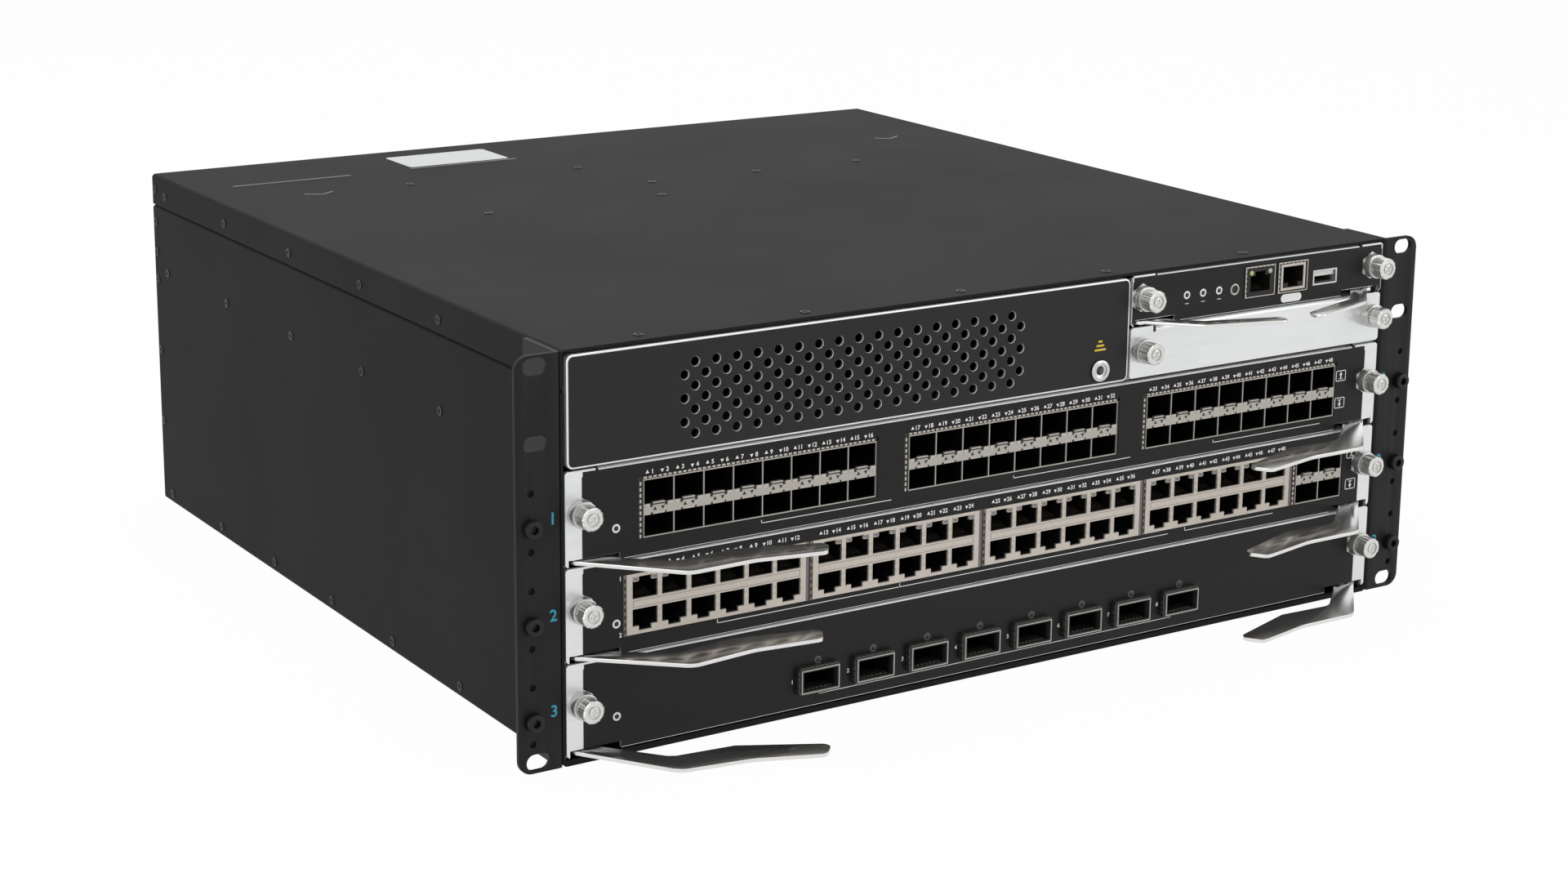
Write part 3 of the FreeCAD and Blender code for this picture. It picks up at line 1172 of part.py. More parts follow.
def all_nodes():
    """Every node, by name."""
    nodes = {
        "chassis_tub": chassis_tub(),
        "top_cover": top_cover(),
        "left_ear": ear(),
        "right_ear": mirrored(ear()),
        "ear_screws": ear_screws(),
        "bay_frame": bay_frame(),
        "card_guides": card_guides(),
        "backplane": backplane(),
        "rear_panel": rear_panel(),
        "inlet_panel": inlet_panel(),
        "earth_jack": earth_jack(),
    }
    for number in range(1, CARD_COUNT + 1):
        nodes.update(line_card(number))
    nodes.update(control_module())
    nodes.update(filler())
    nodes.update({"fan_tray": fan_tray(), "fan_frames": fan_frames(), "fan_tray_screw": fan_tray_screw()})
    for i, x in enumerate(fan_centres()):
        nodes["rotor_%d" % (i + 1)] = rotor(x)
    for i in range(SUPPLY_COUNT):
        nodes["power_supply_%d" % (i + 1)] = power_supply(i)
        nodes["supply_latch_%d" % (i + 1)] = supply_latch(i)
    return nodes


def main():
    """Write one STEP file for each node."""
    os.makedirs("parts", exist_ok=True)
    for name, shape in sorted(all_nodes().items()):
        shape.exportStep("parts/%s.step" % name)
        print("%-22s %2d solids %10.1f mm3" % (name, len(shape.Solids), shape.Volume))


main()
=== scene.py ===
import math

import bpy
from mathutils import Matrix, Vector


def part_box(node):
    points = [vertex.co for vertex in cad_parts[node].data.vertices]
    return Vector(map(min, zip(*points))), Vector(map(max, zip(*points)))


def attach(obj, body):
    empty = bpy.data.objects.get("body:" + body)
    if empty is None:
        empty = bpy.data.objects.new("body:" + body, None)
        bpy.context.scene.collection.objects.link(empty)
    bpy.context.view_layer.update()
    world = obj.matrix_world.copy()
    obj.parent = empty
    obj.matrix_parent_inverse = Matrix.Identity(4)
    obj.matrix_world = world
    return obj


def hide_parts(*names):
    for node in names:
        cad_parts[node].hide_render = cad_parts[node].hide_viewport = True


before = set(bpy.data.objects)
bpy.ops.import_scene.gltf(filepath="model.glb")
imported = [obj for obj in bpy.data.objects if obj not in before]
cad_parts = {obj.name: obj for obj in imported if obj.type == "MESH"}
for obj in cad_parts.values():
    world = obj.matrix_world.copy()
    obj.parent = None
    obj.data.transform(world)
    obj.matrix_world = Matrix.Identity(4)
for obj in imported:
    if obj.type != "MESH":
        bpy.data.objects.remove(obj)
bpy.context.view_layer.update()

# ---- Camera ---------------------------------------------------------------------------------
# A still camera on a stand, off the left front corner and a little above the lid. It looks
# slightly down, its lens shifted to keep the uprights upright, so the lid, the left wall and the
# whole front are in view.

AIM = Vector((-0.11644, -0.2225, 0.17039))
AIM_DISTANCE = 1.20623
CAMERA_TURN = -0.57028
CAMERA_TILT = 0.23414
CAMERA_ROLL = 0.00999
LENS = 67.12
LENS_SHIFT = -0.07

back = Vector((math.sin(CAMERA_TURN) * math.cos(CAMERA_TILT), -math.cos(CAMERA_TURN) * math.cos(CAMERA_TILT),
               math.sin(CAMERA_TILT)))
level = Vector((math.cos(CAMERA_TURN), math.sin(CAMERA_TURN), 0))
upright = back.cross(level)
right = level * math.cos(CAMERA_ROLL) + upright * math.sin(CAMERA_ROLL)
up = upright * math.cos(CAMERA_ROLL) - level * math.sin(CAMERA_ROLL)
camera = bpy.data.objects.new("camera", bpy.data.cameras.new("camera"))
camera.data.lens = LENS
camera.data.shift_y = LENS_SHIFT
facing = Matrix((right, up, back)).transposed().to_4x4()
camera.matrix_world = Matrix.Translation(AIM + back * AIM_DISTANCE) @ facing
bpy.context.scene.collection.objects.link(camera)
bpy.context.scene.camera = camera

# ---- Studio ---------------------------------------------------------------------------------
# A white sweep with one large soft lamp overhead and a weaker one at each side in front. The
# sweep and the surroundings look white, and the case keeps a soft shadow under it.

LAMPS = (("overhead", (-0.3, 0.1, 1.9), (0.0, 0.0, 0.0), 2.4, 26.0),
         ("front_left", (-1.9, -1.6, 0.9), (0.0, -0.1, 0.1), 1.6, 9.0),
         ("front_right", (1.7, -1.9, 0.7), (0.0, -0.2, 0.1), 1.4, 7.0))
AMBIENT = 0.5
FLOOR_GLOW = 0.97
FLOOR_SIZE = 14
FLOOR_TONE = (0.86, 0.86, 0.86, 1)
FLOOR_ROUGHNESS = 0.9

bpy.context.scene.view_settings.view_transform = "Standard"


def white_when_seen(tree):
    """1 where the eye or a reflection looks, 0 where the light is worked out."""
    path = tree.nodes.new("ShaderNodeLightPath")
    total = None
    for name in ("Is Camera Ray", "Is Glossy Ray", "Is Transmission Ray"):
        if total is None:
            total = path.outputs[name]
            continue
        larger = tree.nodes.new("ShaderNodeMath")
        larger.operation = "MAXIMUM"
        tree.links.new(total, larger.inputs[0])
        tree.links.new(path.outputs[name], larger.inputs[1])
        total = larger.outputs[0]
    return total


world = bpy.data.worlds.new("white_room")
world.use_nodes = True
bpy.context.scene.world = world
sky = world.node_tree.nodes["Background"]
sky.inputs["Color"].default_value = (1, 1, 1, 1)
strength = world.node_tree.nodes.new("ShaderNodeMapRange")
strength.inputs["To Min"].default_value = AMBIENT
strength.inputs["To Max"].default_value = 1.0
world.node_tree.links.new(white_when_seen(world.node_tree), strength.inputs["Value"])
world.node_tree.links.new(strength.outputs["Result"], sky.inputs["Strength"])

for name, place, aim, size, power in LAMPS:
    lamp = bpy.data.lights.new(name, "AREA")
    lamp.size = size
    lamp.energy = power
    stand = bpy.data.objects.new(name, lamp)
    stand.location = place
    stand.rotation_euler = (Vector(place) - Vector(aim)).to_track_quat("Z", "Y").to_euler()
    bpy.context.scene.collection.objects.link(stand)

bpy.ops.object.select_all(action="DESELECT")
bpy.ops.mesh.primitive_plane_add(size=FLOOR_SIZE)
floor = bpy.context.active_object
floor.name = "floor"
paper = bpy.data.materials.new("white_paper")
paper.use_nodes = True
tree = paper.node_tree
tree.nodes["Principled BSDF"].inputs["Base Color"].default_value = FLOOR_TONE
tree.nodes["Principled BSDF"].inputs["Roughness"].default_value = FLOOR_ROUGHNESS
glow = tree.nodes.new("ShaderNodeEmission")
glow.inputs["Color"].default_value = (1, 1, 1, 1)
share = tree.nodes.new("ShaderNodeMapRange")
share.inputs["To Max"].default_value = FLOOR_GLOW
blend = tree.nodes.new("ShaderNodeMixShader")
tree.links.new(white_when_seen(tree), share.inputs["Value"])
tree.links.new(share.outputs["Result"], blend.inputs["Fac"])
tree.links.new(tree.nodes["Principled BSDF"].outputs["BSDF"], blend.inputs[1])
tree.links.new(glow.outputs["Emission"], blend.inputs[2])
tree.links.new(blend.outputs["Shader"], tree.nodes["Material Output"].inputs["Surface"])
floor.data.materials.append(paper)

# ---- Case -----------------------------------------------------------------------------------
# The case is a tub and a lid, folded from steel sheet a little over 1 mm thick and powder coated
# a fine matt charcoal. The lid's sides lie over the tub's joggled walls.

MM = 0.001
COAT_GRAIN = 2600.0
SMEAR_SIZE = 14.0
BUMP_STRENGTH = 0.6
SMOOTHEST = 0.02


def tree_group(name, inputs, output):
    """Empty shader node group with number or vector inputs and one number output."""
    group = bpy.data.node_groups.new(name, "ShaderNodeTree")
    for socket, kind in inputs:
        group.interface.new_socket(socket, in_out="INPUT", socket_type=kind)
    group.interface.new_socket(output, in_out="OUTPUT", socket_type="NodeSocketFloat")
    return group, group.nodes.new("NodeGroupInput"), group.nodes.new("NodeGroupOutput")


def grain_group():
    """Fine noise, drawn out along a direction; 0.5 on average."""
    sockets = [("Size", "NodeSocketFloat"), ("Along", "NodeSocketVector")]
    group, enter, leave = tree_group("grain", sockets, "Tone")
    place = group.nodes.new("ShaderNodeTexCoord")
    stretch = group.nodes.new("ShaderNodeVectorMath")
    stretch.operation = "MULTIPLY"
    noise = group.nodes.new("ShaderNodeTexNoise")
    noise.inputs["Detail"].default_value = 2.5
    group.links.new(place.outputs["Object"], stretch.inputs[0])
    group.links.new(enter.outputs["Along"], stretch.inputs[1])
    group.links.new(stretch.outputs["Vector"], noise.inputs["Vector"])
    group.links.new(enter.outputs["Size"], noise.inputs["Scale"])
    group.links.new(noise.outputs["Fac"], leave.inputs["Tone"])
    return group


def smear_group():
    """Broad soft patches, from 0 to 1, where hands and dust have changed the gloss."""
    group, enter, leave = tree_group("smear", [("Size", "NodeSocketFloat")], "Mask")
    place = group.nodes.new("ShaderNodeTexCoord")
    noise = group.nodes.new("ShaderNodeTexNoise")
    noise.inputs["Detail"].default_value = 4.0
    spread = group.nodes.new("ShaderNodeMapRange")
    spread.inputs["From Min"].default_value = 0.34
    spread.inputs["From Max"].default_value = 0.66
    group.links.new(place.outputs["Object"], noise.inputs["Vector"])
    group.links.new(enter.outputs["Size"], noise.inputs["Scale"])
    group.links.new(noise.outputs["Fac"], spread.inputs["Value"])
    group.links.new(spread.outputs["Result"], leave.inputs["Mask"])
    return group


def depth_group():
    """How far a point lies behind the mouth of a socket, 0 at the mouth and 1 at the reach: the mask of
    painted shade inside sockets.
    """
    sockets = [("Mouth", "NodeSocketFloat"), ("Reach", "NodeSocketFloat")]
    group, enter, leave = tree_group("depth", sockets, "Mask")
    place = group.nodes.new("ShaderNodeTexCoord")
    parts = group.nodes.new("ShaderNodeSeparateXYZ")
    end = group.nodes.new("ShaderNodeMath")
    span = group.nodes.new("ShaderNodeMapRange")
    group.links.new(place.outputs["Object"], parts.inputs["Vector"])
    group.links.new(enter.outputs["Mouth"], end.inputs[0])
    group.links.new(enter.outputs["Reach"], end.inputs[1])
    group.links.new(parts.outputs["Y"], span.inputs["Value"])
    group.links.new(enter.outputs["Mouth"], span.inputs["From Min"])
    group.links.new(end.outputs["Value"], span.inputs["From Max"])
    group.links.new(span.outputs["Result"], leave.inputs["Mask"])
    return group


GRAIN = grain_group()
SMEAR = smear_group()
DEPTH = depth_group()


def shade(colour, factor=1.0):
    """Linear colour from three display values of 0 to 255, lightened or darkened."""
    values = []
    for part in colour:
        share = part / 255
        straight = share / 12.92 if share <= 0.04045 else ((share + 0.055) / 1.055) ** 2.4
        values.append(min(1.0, straight * factor))
    return values + [1.0]


def used(tree, group, values):
    """Node of a group with its inputs set."""
    node = tree.nodes.new("ShaderNodeGroup")
    node.node_tree = group
    for socket, value in values.items():
        node.inputs[socket].default_value = value
    return node


def mixed(tree, mask, first, second):
    """Colour that goes from the first to the second as the mask goes from 0 to 1."""
    node = tree.nodes.new("ShaderNodeMix")
    node.data_type = "RGBA"
    tree.links.new(mask, node.inputs["Factor"])
    for index, colour in ((6, first), (7, second)):
        if isinstance(colour, list):
            node.inputs[index].default_value = colour
        else:
            tree.links.new(colour, node.inputs[index])
    return node.outputs[2]


def finish(name, colour, gloss, metal=0.0, grain=1500.0, spread=0.12, relief=0.02, along=(1, 1, 1),
           smear=0.06, inside=None, shine=0.5):
    """Surface with fine grain and uneven gloss; inside is the mouth, reach and colour of painted shade in a
    socket.
    """
    material = bpy.data.materials.new(name)
    material.use_nodes = True
    tree = material.node_tree
    shader = tree.nodes["Principled BSDF"]
    shader.inputs["Metallic"].default_value = metal
    shader.inputs["Specular IOR Level"].default_value = shine
    fine = used(tree, GRAIN, {"Size": grain, "Along": along})
    broad = used(tree, SMEAR, {"Size": SMEAR_SIZE})
    tone = mixed(tree, fine.outputs["Tone"], shade(colour, 1 - spread), shade(colour, 1 + spread))
    # Painted shade: behind a socket's mouth the colour darkens and the metal fades over the reach.
    if inside:
        mouth, reach, dark = inside
        deep = used(tree, DEPTH, {"Mouth": mouth * MM, "Reach": reach * MM})
        tone = mixed(tree, deep.outputs["Mask"], tone, shade(dark))
        plain = tree.nodes.new("ShaderNodeMapRange")
        plain.inputs["To Min"].default_value = metal
        plain.inputs["To Max"].default_value = 0.0
        tree.links.new(deep.outputs["Mask"], plain.inputs["Value"])
        tree.links.new(plain.outputs["Result"], shader.inputs["Metallic"])
    tree.links.new(tone, shader.inputs["Base Color"])
    rough = tree.nodes.new("ShaderNodeMapRange")
    rough.inputs["To Min"].default_value = max(SMOOTHEST, gloss - smear)
    rough.inputs["To Max"].default_value = gloss + smear
    tree.links.new(broad.outputs["Mask"], rough.inputs["Value"])
    tree.links.new(rough.outputs["Result"], shader.inputs["Roughness"])
    bump = tree.nodes.new("ShaderNodeBump")
    bump.inputs["Strength"].default_value = BUMP_STRENGTH
    bump.inputs["Distance"].default_value = relief * MM
    tree.links.new(fine.outputs["Tone"], bump.inputs["Height"])
    tree.links.new(bump.outputs["Normal"], shader.inputs["Normal"])
    return material


def dress(material, *nodes):
    """Give CAD nodes their finish."""
    for node in nodes:
        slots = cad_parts[node].data.materials
        slots.clear()
        slots.append(material)


def corners(node):
    """Lowest and highest corner of a CAD node, in millimetres."""
    low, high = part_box(node)
    return low / MM, high / MM


case_coat = finish("charcoal_powder_coat", (30, 32, 31), 0.62, grain=COAT_GRAIN, spread=0.16, relief=0.05,
                   smear=0.02, shine=0.08)
dress(case_coat, "chassis_tub", "top_cover")

# ---- Case screws ----------------------------------------------------------------------------
# Small black countersunk screws with a cross recess hold the lid, the walls and the inner frame.
# They are steel with a black oxide finish, and sit a hair proud of the coat.

SCREW_RADIUS = 2.3
SCREW_PROUD = 0.45
SCREW_SUNK = 0.3
SCREW_RECESS = (3.0, 0.75, 0.35)
LID_SETBACK = 0.4
EDGE_ANGLE = 35
FLANK_ROWS = ((165.5, (109.1, 188.7, 268.3, 347.9, 427.5)), (125.4, (109.1, 188.7, 268.3, 347.9, 427.5)),
              (5.5, (94.0, 162.0, 229.0, 297.0, 365.0, 433.0)))
FLANK_COLUMN = (441.5, (167.5, 150.3, 134.5, 119.9, 82.0, 43.7))
LID_PLACES = ((-181.0, 8.0), (-101.0, 8.0), (-21.0, 8.0), (59.0, 8.0), (139.0, 8.0), (-118.4, 264.0),
              (-118.4, 352.0), (-21.0, 264.0), (-21.0, 352.0), (-7.5, 297.0), (56.0, 297.0), (119.0, 297.0))


def only(piece):
    """Make a piece the only one selected."""
    if bpy.context.mode != "OBJECT":
        bpy.ops.object.mode_set(mode="OBJECT")
    bpy.ops.object.select_all(action="DESELECT")
    piece.select_set(True)
    bpy.context.view_layer.objects.active = piece
    return piece


def bar(x, y, z):
    """Rectangular bar between ends in millimetres."""
    bpy.ops.object.select_all(action="DESELECT")
    ends = (x, y, z)
    bpy.ops.mesh.primitive_cube_add(size=1.0, location=[(a + b) / 2 * MM for a, b in ends],
                                    scale=[(b - a) * MM for a, b in ends])
    bpy.ops.object.transform_apply(location=True, rotation=True, scale=True)
    return bpy.context.active_object


def rod(x, z, radius, y, sides=28):
    """Round bar along Y."""
    bpy.ops.object.select_all(action="DESELECT")
    bpy.ops.mesh.primitive_cylinder_add(vertices=sides, radius=radius * MM, depth=abs(y[1] - y[0]) * MM,
                                        location=(x * MM, (y[0] + y[1]) / 2 * MM, z * MM),
                                        rotation=(math.pi / 2, 0, 0))
    bpy.ops.object.transform_apply(location=True, rotation=True, scale=True)
    return bpy.context.active_object


def eased(piece, width, segments=2):
    """Break the sharp edges of a piece."""
    only(piece)
    edge = piece.modifiers.new("edge", "BEVEL")
    edge.width = width * MM
    edge.segments = segments
    edge.limit_method = "ANGLE"
    edge.angle_limit = math.radians(EDGE_ANGLE)
    bpy.ops.object.modifier_apply(modifier="edge")
    return piece


def cut(piece, cutter):
    """Take the cutter's shape out of a piece."""
    only(piece)
    change = piece.modifiers.new("cut", "BOOLEAN")
    change.object = cutter
    change.solver = "EXACT"
    change.material_mode = "TRANSFER"
    bpy.ops.object.modifier_apply(modifier="cut")
    bpy.data.objects.remove(cutter)
    return piece


def joined(pieces):
    """One object from several."""
    bpy.ops.object.select_all(action="DESELECT")
    for piece in pieces:
        piece.select_set(True)
    bpy.context.view_layer.objects.active = pieces[0]
    if len(pieces) > 1:
        bpy.ops.object.join()
    return pieces[0]


def copied(piece, x=0.0, y=0.0, z=0.0, turn=None):
    """Copy with its own mesh, moved in millimetres after an optional turn about the origin."""
    twin = piece.copy()
    twin.data = piece.data.copy()
    if turn is not None:
        twin.data.transform(turn)
    twin.data.transform(Matrix.Translation((x * MM, y * MM, z * MM)))
    bpy.context.scene.collection.objects.link(twin)
    return twin


def finished(piece, name, material, body, slot, *stands_for, smooth=EDGE_ANGLE):
    """Name a piece, give it its finish and fix it to its body."""
    only(piece)
    bpy.ops.object.shade_smooth_by_angle(angle=math.radians(smooth))
    piece.name = name
    piece.data.name = name
    if material:
        piece.data.materials.clear()
        piece.data.materials.append(material)
    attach(piece, body)
    if stands_for:
        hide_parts(*stands_for)
    return piece


def fused(first, second):
    """Union of two overlapping pieces."""
    only(first)
    change = first.modifiers.new("union", "BOOLEAN")
    change.operation = "UNION"
    change.object = second
    change.solver = "EXACT"
    bpy.ops.object.modifier_apply(modifier="union")
    bpy.data.objects.remove(second)
    return first


def cross_recess(span, wide, y):
    """Cutter for a cross recess in the head of a screw on the axis."""
    long_way = bar((-span / 2, span / 2), y, (-wide / 2, wide / 2))
    short_way = bar((-wide / 2, wide / 2), (y[0] - 0.01, y[1] + 0.01), (-span / 2, span / 2))
    return fused(long_way, short_way)


black_steel = finish("black_oxide_steel", (32, 32, 33), 0.38, metal=0.6, grain=900.0, spread=0.25,
                     relief=0.01)
case_low, case_high = corners("top_cover")
front_y = case_low.y - LID_SETBACK
span, wide, deep = SCREW_RECESS
head = eased(rod(0, 0, SCREW_RADIUS, (-SCREW_PROUD, SCREW_SUNK), 18), 0.25, 1)
head = cut(head, cross_recess(span, wide, (-SCREW_PROUD - 0.2, -SCREW_PROUD + deep)))
flat = Matrix.Rotation(-math.pi / 2, 4, "X")
screws = [copied(head, x, front_y + y, case_high.z, flat) for x, y in LID_PLACES]
flanks = [(y, z) for z, places in FLANK_ROWS for y in places]
flanks += [(FLANK_COLUMN[0], z) for z in FLANK_COLUMN[1]]
for way in (-1, 1):
    sideways = Matrix.Rotation(way * math.pi / 2, 4, "Z")
    screws += [copied(head, way * case_high.x, front_y + y, z, sideways) for y, z in flanks]
bpy.data.objects.remove(head)
finished(joined(screws), "case_screws", black_steel, "chassis", "black_screw")

# ---- Lid label and pressed lines ------------------------------------------------------------
# A blank white paper label with rounded corners is stuck near the back of the lid. Two long
# narrow beads and two shallow arrow marks are pressed up from the sheet there, and their coat is
# painted pale as a highlight, for the light their raised edges catch.

LABEL = ((-97.0, -39.0), (173.5, 205.6))
LABEL_THICKNESS = 0.15
LABEL_CORNER = 2.0
BEADS = ((-199.0, -134.0, 167.2), (-99.0, -37.0, 169.6))
BEAD_WIDTH = 1.1
BEAD_PROUD = 0.4
PRESSED_ROOT = 0.4
MARKS = ((-168.0, 128.8), (176.0, 126.8))
MARK_ARM = 9.0
MARK_WIDTH = 1.0
MARK_PROUD = 0.2
MARK_TURN = 32
MARK_SHARE = 0.42


def edges_where(piece, test):
    """Select the edges whose two ends pass the test, and go into edit mode."""
    only(piece)
    bpy.ops.object.mode_set(mode="EDIT")
    bpy.ops.mesh.select_mode(type="EDGE")
    bpy.ops.mesh.select_all(action="DESELECT")
    bpy.ops.object.mode_set(mode="OBJECT")
    points = piece.data.vertices
    for edge in piece.data.edges:
        first, second = points[edge.vertices[0]].co / MM, points[edge.vertices[1]].co / MM
        edge.select = test(first, second)
    bpy.ops.object.mode_set(mode="EDIT")


def faces_where(piece, test):
    """Select the faces whose centre and normal pass the test, and go into edit mode."""
    only(piece)
    bpy.ops.object.mode_set(mode="EDIT")
    bpy.ops.mesh.select_mode(type="FACE")
    bpy.ops.mesh.select_all(action="DESELECT")
    bpy.ops.object.mode_set(mode="OBJECT")
    for face in piece.data.polygons:
        face.select = test(face.center / MM, face.normal)
    bpy.ops.object.mode_set(mode="EDIT")


def plate(x, y, z, corner, along=1, steps=5):
    """Bar with rounded corners seen along one axis: 0 is X, 1 is Y and 2 is Z."""
    piece = bar(x, y, z)
    edges_where(piece, lambda a, b: abs(a[along] - b[along]) > 1e-4)
    bpy.ops.mesh.bevel(offset=corner * MM, segments=steps)
    bpy.ops.object.mode_set(mode="OBJECT")
    return piece


label_paper = finish("label_paper", (206, 208, 208), 0.55, grain=700.0, spread=0.03, relief=0.01)
lid_z = case_high.z
label = plate(*LABEL, (lid_z, lid_z + LABEL_THICKNESS), LABEL_CORNER, along=2)
finished(eased(label, 0.05, 1), "lid_label", label_paper, "chassis", None)

bead_height = (lid_z - PRESSED_ROOT, lid_z + BEAD_PROUD)
mark_height = (lid_z - PRESSED_ROOT, lid_z + MARK_PROUD)
pressed = [eased(bar((a, b), (y - BEAD_WIDTH / 2, y + BEAD_WIDTH / 2), bead_height), 0.3)
           for a, b, y in BEADS]
arm = eased(bar((-MARK_ARM / 2, MARK_ARM / 2), (-MARK_WIDTH / 2, MARK_WIDTH / 2), mark_height), 0.15)
for x, y in MARKS:
    for way in (-1, 1):
        turn = Matrix.Rotation(way * math.radians(MARK_TURN), 4, "Z")
        pressed.append(copied(arm, x + way * MARK_ARM * MARK_SHARE, y, 0, turn))
bpy.data.objects.remove(arm)
# Painted highlight: the pressings' coat is pale where their raised edges catch the light.
pressing_highlight_coat = finish("painted_highlight_coat", (112, 114, 113), 0.4, grain=COAT_GRAIN, spread=0.2, relief=0.04,
                   smear=0.04)
finished(joined(pressed), "lid_pressings", pressing_highlight_coat, "chassis", "case_paint")

# ---- Rack ears ------------------------------------------------------------------------------
# Each ear is a 2 mm steel angle with a smooth black coat, screwed to the side wall through its
# return. Socket screws and small blind holes run down it, and printed figures number the slots.

EAR_HOLE_X = 234.8
EAR_HOLE_RADIUS = 1.5
EAR_HOLE_DEPTH = 1.6
EAR_HOLE_RISES = (-9.9, 14.3)
CAP_RISE = 19.2
CAP_RADIUS = 3.8
SOCKET_RADIUS = 1.9
SOCKET_DEPTH = 1.8
FILM_MARGIN = 0.3
FIGURE_X = 225.0
FIGURE_RISE = 21.6
FIGURE_HEIGHT = 5.0
CAPITAL_SHARE = 0.72
INK = 0.04
BOLDNESS = 0.025


def softened(node, width, segments=2):
    """Copy of a CAD node with whole flat faces and broken edges."""
    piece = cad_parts[node].copy()
    piece.data = piece.data.copy()
    piece.parent = None
    for key in list(piece.keys()):
        del piece[key]
    bpy.context.scene.collection.objects.link(piece)
    only(piece)
    bpy.ops.mesh.customdata_custom_splitnormals_clear()
    bpy.ops.object.mode_set(mode="EDIT")
    bpy.ops.mesh.select_all(action="SELECT")
    bpy.ops.mesh.remove_doubles(threshold=0.000002)
    bpy.ops.mesh.dissolve_limited(angle_limit=math.radians(0.5))
    bpy.ops.object.mode_set(mode="OBJECT")
    return eased(piece, width, segments) if width else piece


def printed(text, x, z, height, y):
    """Printed figure that faces forwards, its middle at (x, z)."""
    bpy.ops.object.select_all(action="DESELECT")
    bpy.ops.object.text_add()
    piece = bpy.context.active_object
    piece.data.body = text
    piece.data.size = height * MM / CAPITAL_SHARE
    piece.data.align_x = "CENTER"
    piece.data.align_y = "CENTER"
    piece.data.resolution_u = 3
    piece.data.extrude = INK * MM / 2
    piece.data.offset = BOLDNESS * height * MM
    bpy.ops.object.convert(target="MESH")
    piece = bpy.context.active_object
    stand = Matrix.Rotation(math.pi / 2, 4, "X")
    piece.data.transform(Matrix.Translation((x * MM, (y - INK / 2) * MM, z * MM)) @ stand)
    return piece


ear_coat = finish("black_ear_coat", (25, 25, 26), 0.55, grain=1800.0, spread=0.1, relief=0.02, smear=0.03,
                  shine=0.2)
ink_blue = finish("blue_ink", (46, 150, 172), 0.5, grain=900.0, spread=0.05, relief=0.0)
ear_face = corners("left_ear")[0].y
slot_heights = [corners("card_%d_overlay" % number)[0].z - FILM_MARGIN for number in (1, 2, 3)]
hole_ends = (ear_face - 1, ear_face + EAR_HOLE_DEPTH)
for side, way in (("left", -1), ("right", 1)):
    holes = [rod(way * EAR_HOLE_X, base + CAP_RISE + rise, EAR_HOLE_RADIUS, hole_ends, 16)
             for base in slot_heights for rise in EAR_HOLE_RISES]
    ear = eased(cut(softened(side + "_ear", 0), joined(holes)), 0.25)
    finished(ear, side + "_rack_ear", ear_coat, "chassis", "case_paint", side + "_ear")

cap_face = corners("ear_screws")[0].y
cap = eased(rod(0, 0, CAP_RADIUS, (cap_face, ear_face + 0.3), 28), 0.4)
cap = cut(cap, rod(0, 0, SOCKET_RADIUS, (cap_face - 1, cap_face + SOCKET_DEPTH), 6))
caps = [copied(cap, way * EAR_HOLE_X, 0, base + CAP_RISE) for way in (-1, 1) for base in slot_heights]
bpy.data.objects.remove(cap)
finished(joined(caps), "ear_cap_screws", black_steel, "chassis", "black_screw", "ear_screws")
figures = [printed(str(i + 1), way * FIGURE_X, base + FIGURE_RISE, FIGURE_HEIGHT, ear_face)
           for way in (-1, 1) for i, base in enumerate(slot_heights)]
finished(joined(figures), "slot_figures", ink_blue, "chassis", None, smooth=5)

# ---- Frame inside the case ------------------------------------------------------------------
# Zinc-plated brackets, a shelf and a divider carry the modules, nylon rails guide their edges,
# and a green circuit board stands behind them, in front of the coated rear wall. Only edges of
# the frame show when a module is out.

zinc_frame = finish("zinc_plated_frame", (150, 152, 154), 0.38, metal=0.85, grain=60.0, spread=0.18)
guide_nylon = finish("black_guide_nylon", (40, 40, 41), 0.6, grain=1200.0)
board_green = finish("green_circuit_board", (28, 74, 52), 0.35, grain=260.0, spread=0.3)
dress(zinc_frame, "bay_frame")
dress(guide_nylon, "card_guides")
dress(board_green, "backplane", "card_1_board", "card_2_board", "card_3_board", "control_board")
dress(case_coat, "rear_panel")

# ---- Air inlet ------------------------------------------------------------------------------
# The inlet panel is a shallow tray of bright sheet with a black film over its face, punched with
# staggered round holes. The punch leaves a thin bright rim round each hole.

INLET_CORNER = 3.0
INLET_EDGE = 0.5
INLET_SHEET = 1.2
FILM_BORDER = 0.35
AIR_RADIUS = 2.0
AIR_RIM = 0.18
AIR_DEPTH = 4
AIR_PITCH = 5.0
AIR_COLUMNS = 35
AIR_FIRST_X = -164.3
AIR_DROP = 14.7
EARTH_X = 50.3
EARTH_RISE = 7.0
EARTH_HOLE = 3.7

bare_sheet = finish("bare_bright_sheet", (224, 225, 226), 0.3, metal=0.75, grain=420.0, spread=0.05,
                    along=(0.12, 1, 1), relief=0.01, smear=0.08)
film = finish("black_panel_film", (25, 24, 24), 0.38, grain=3200.0, spread=0.08, relief=0.012, smear=0.04,
              shine=0.2)
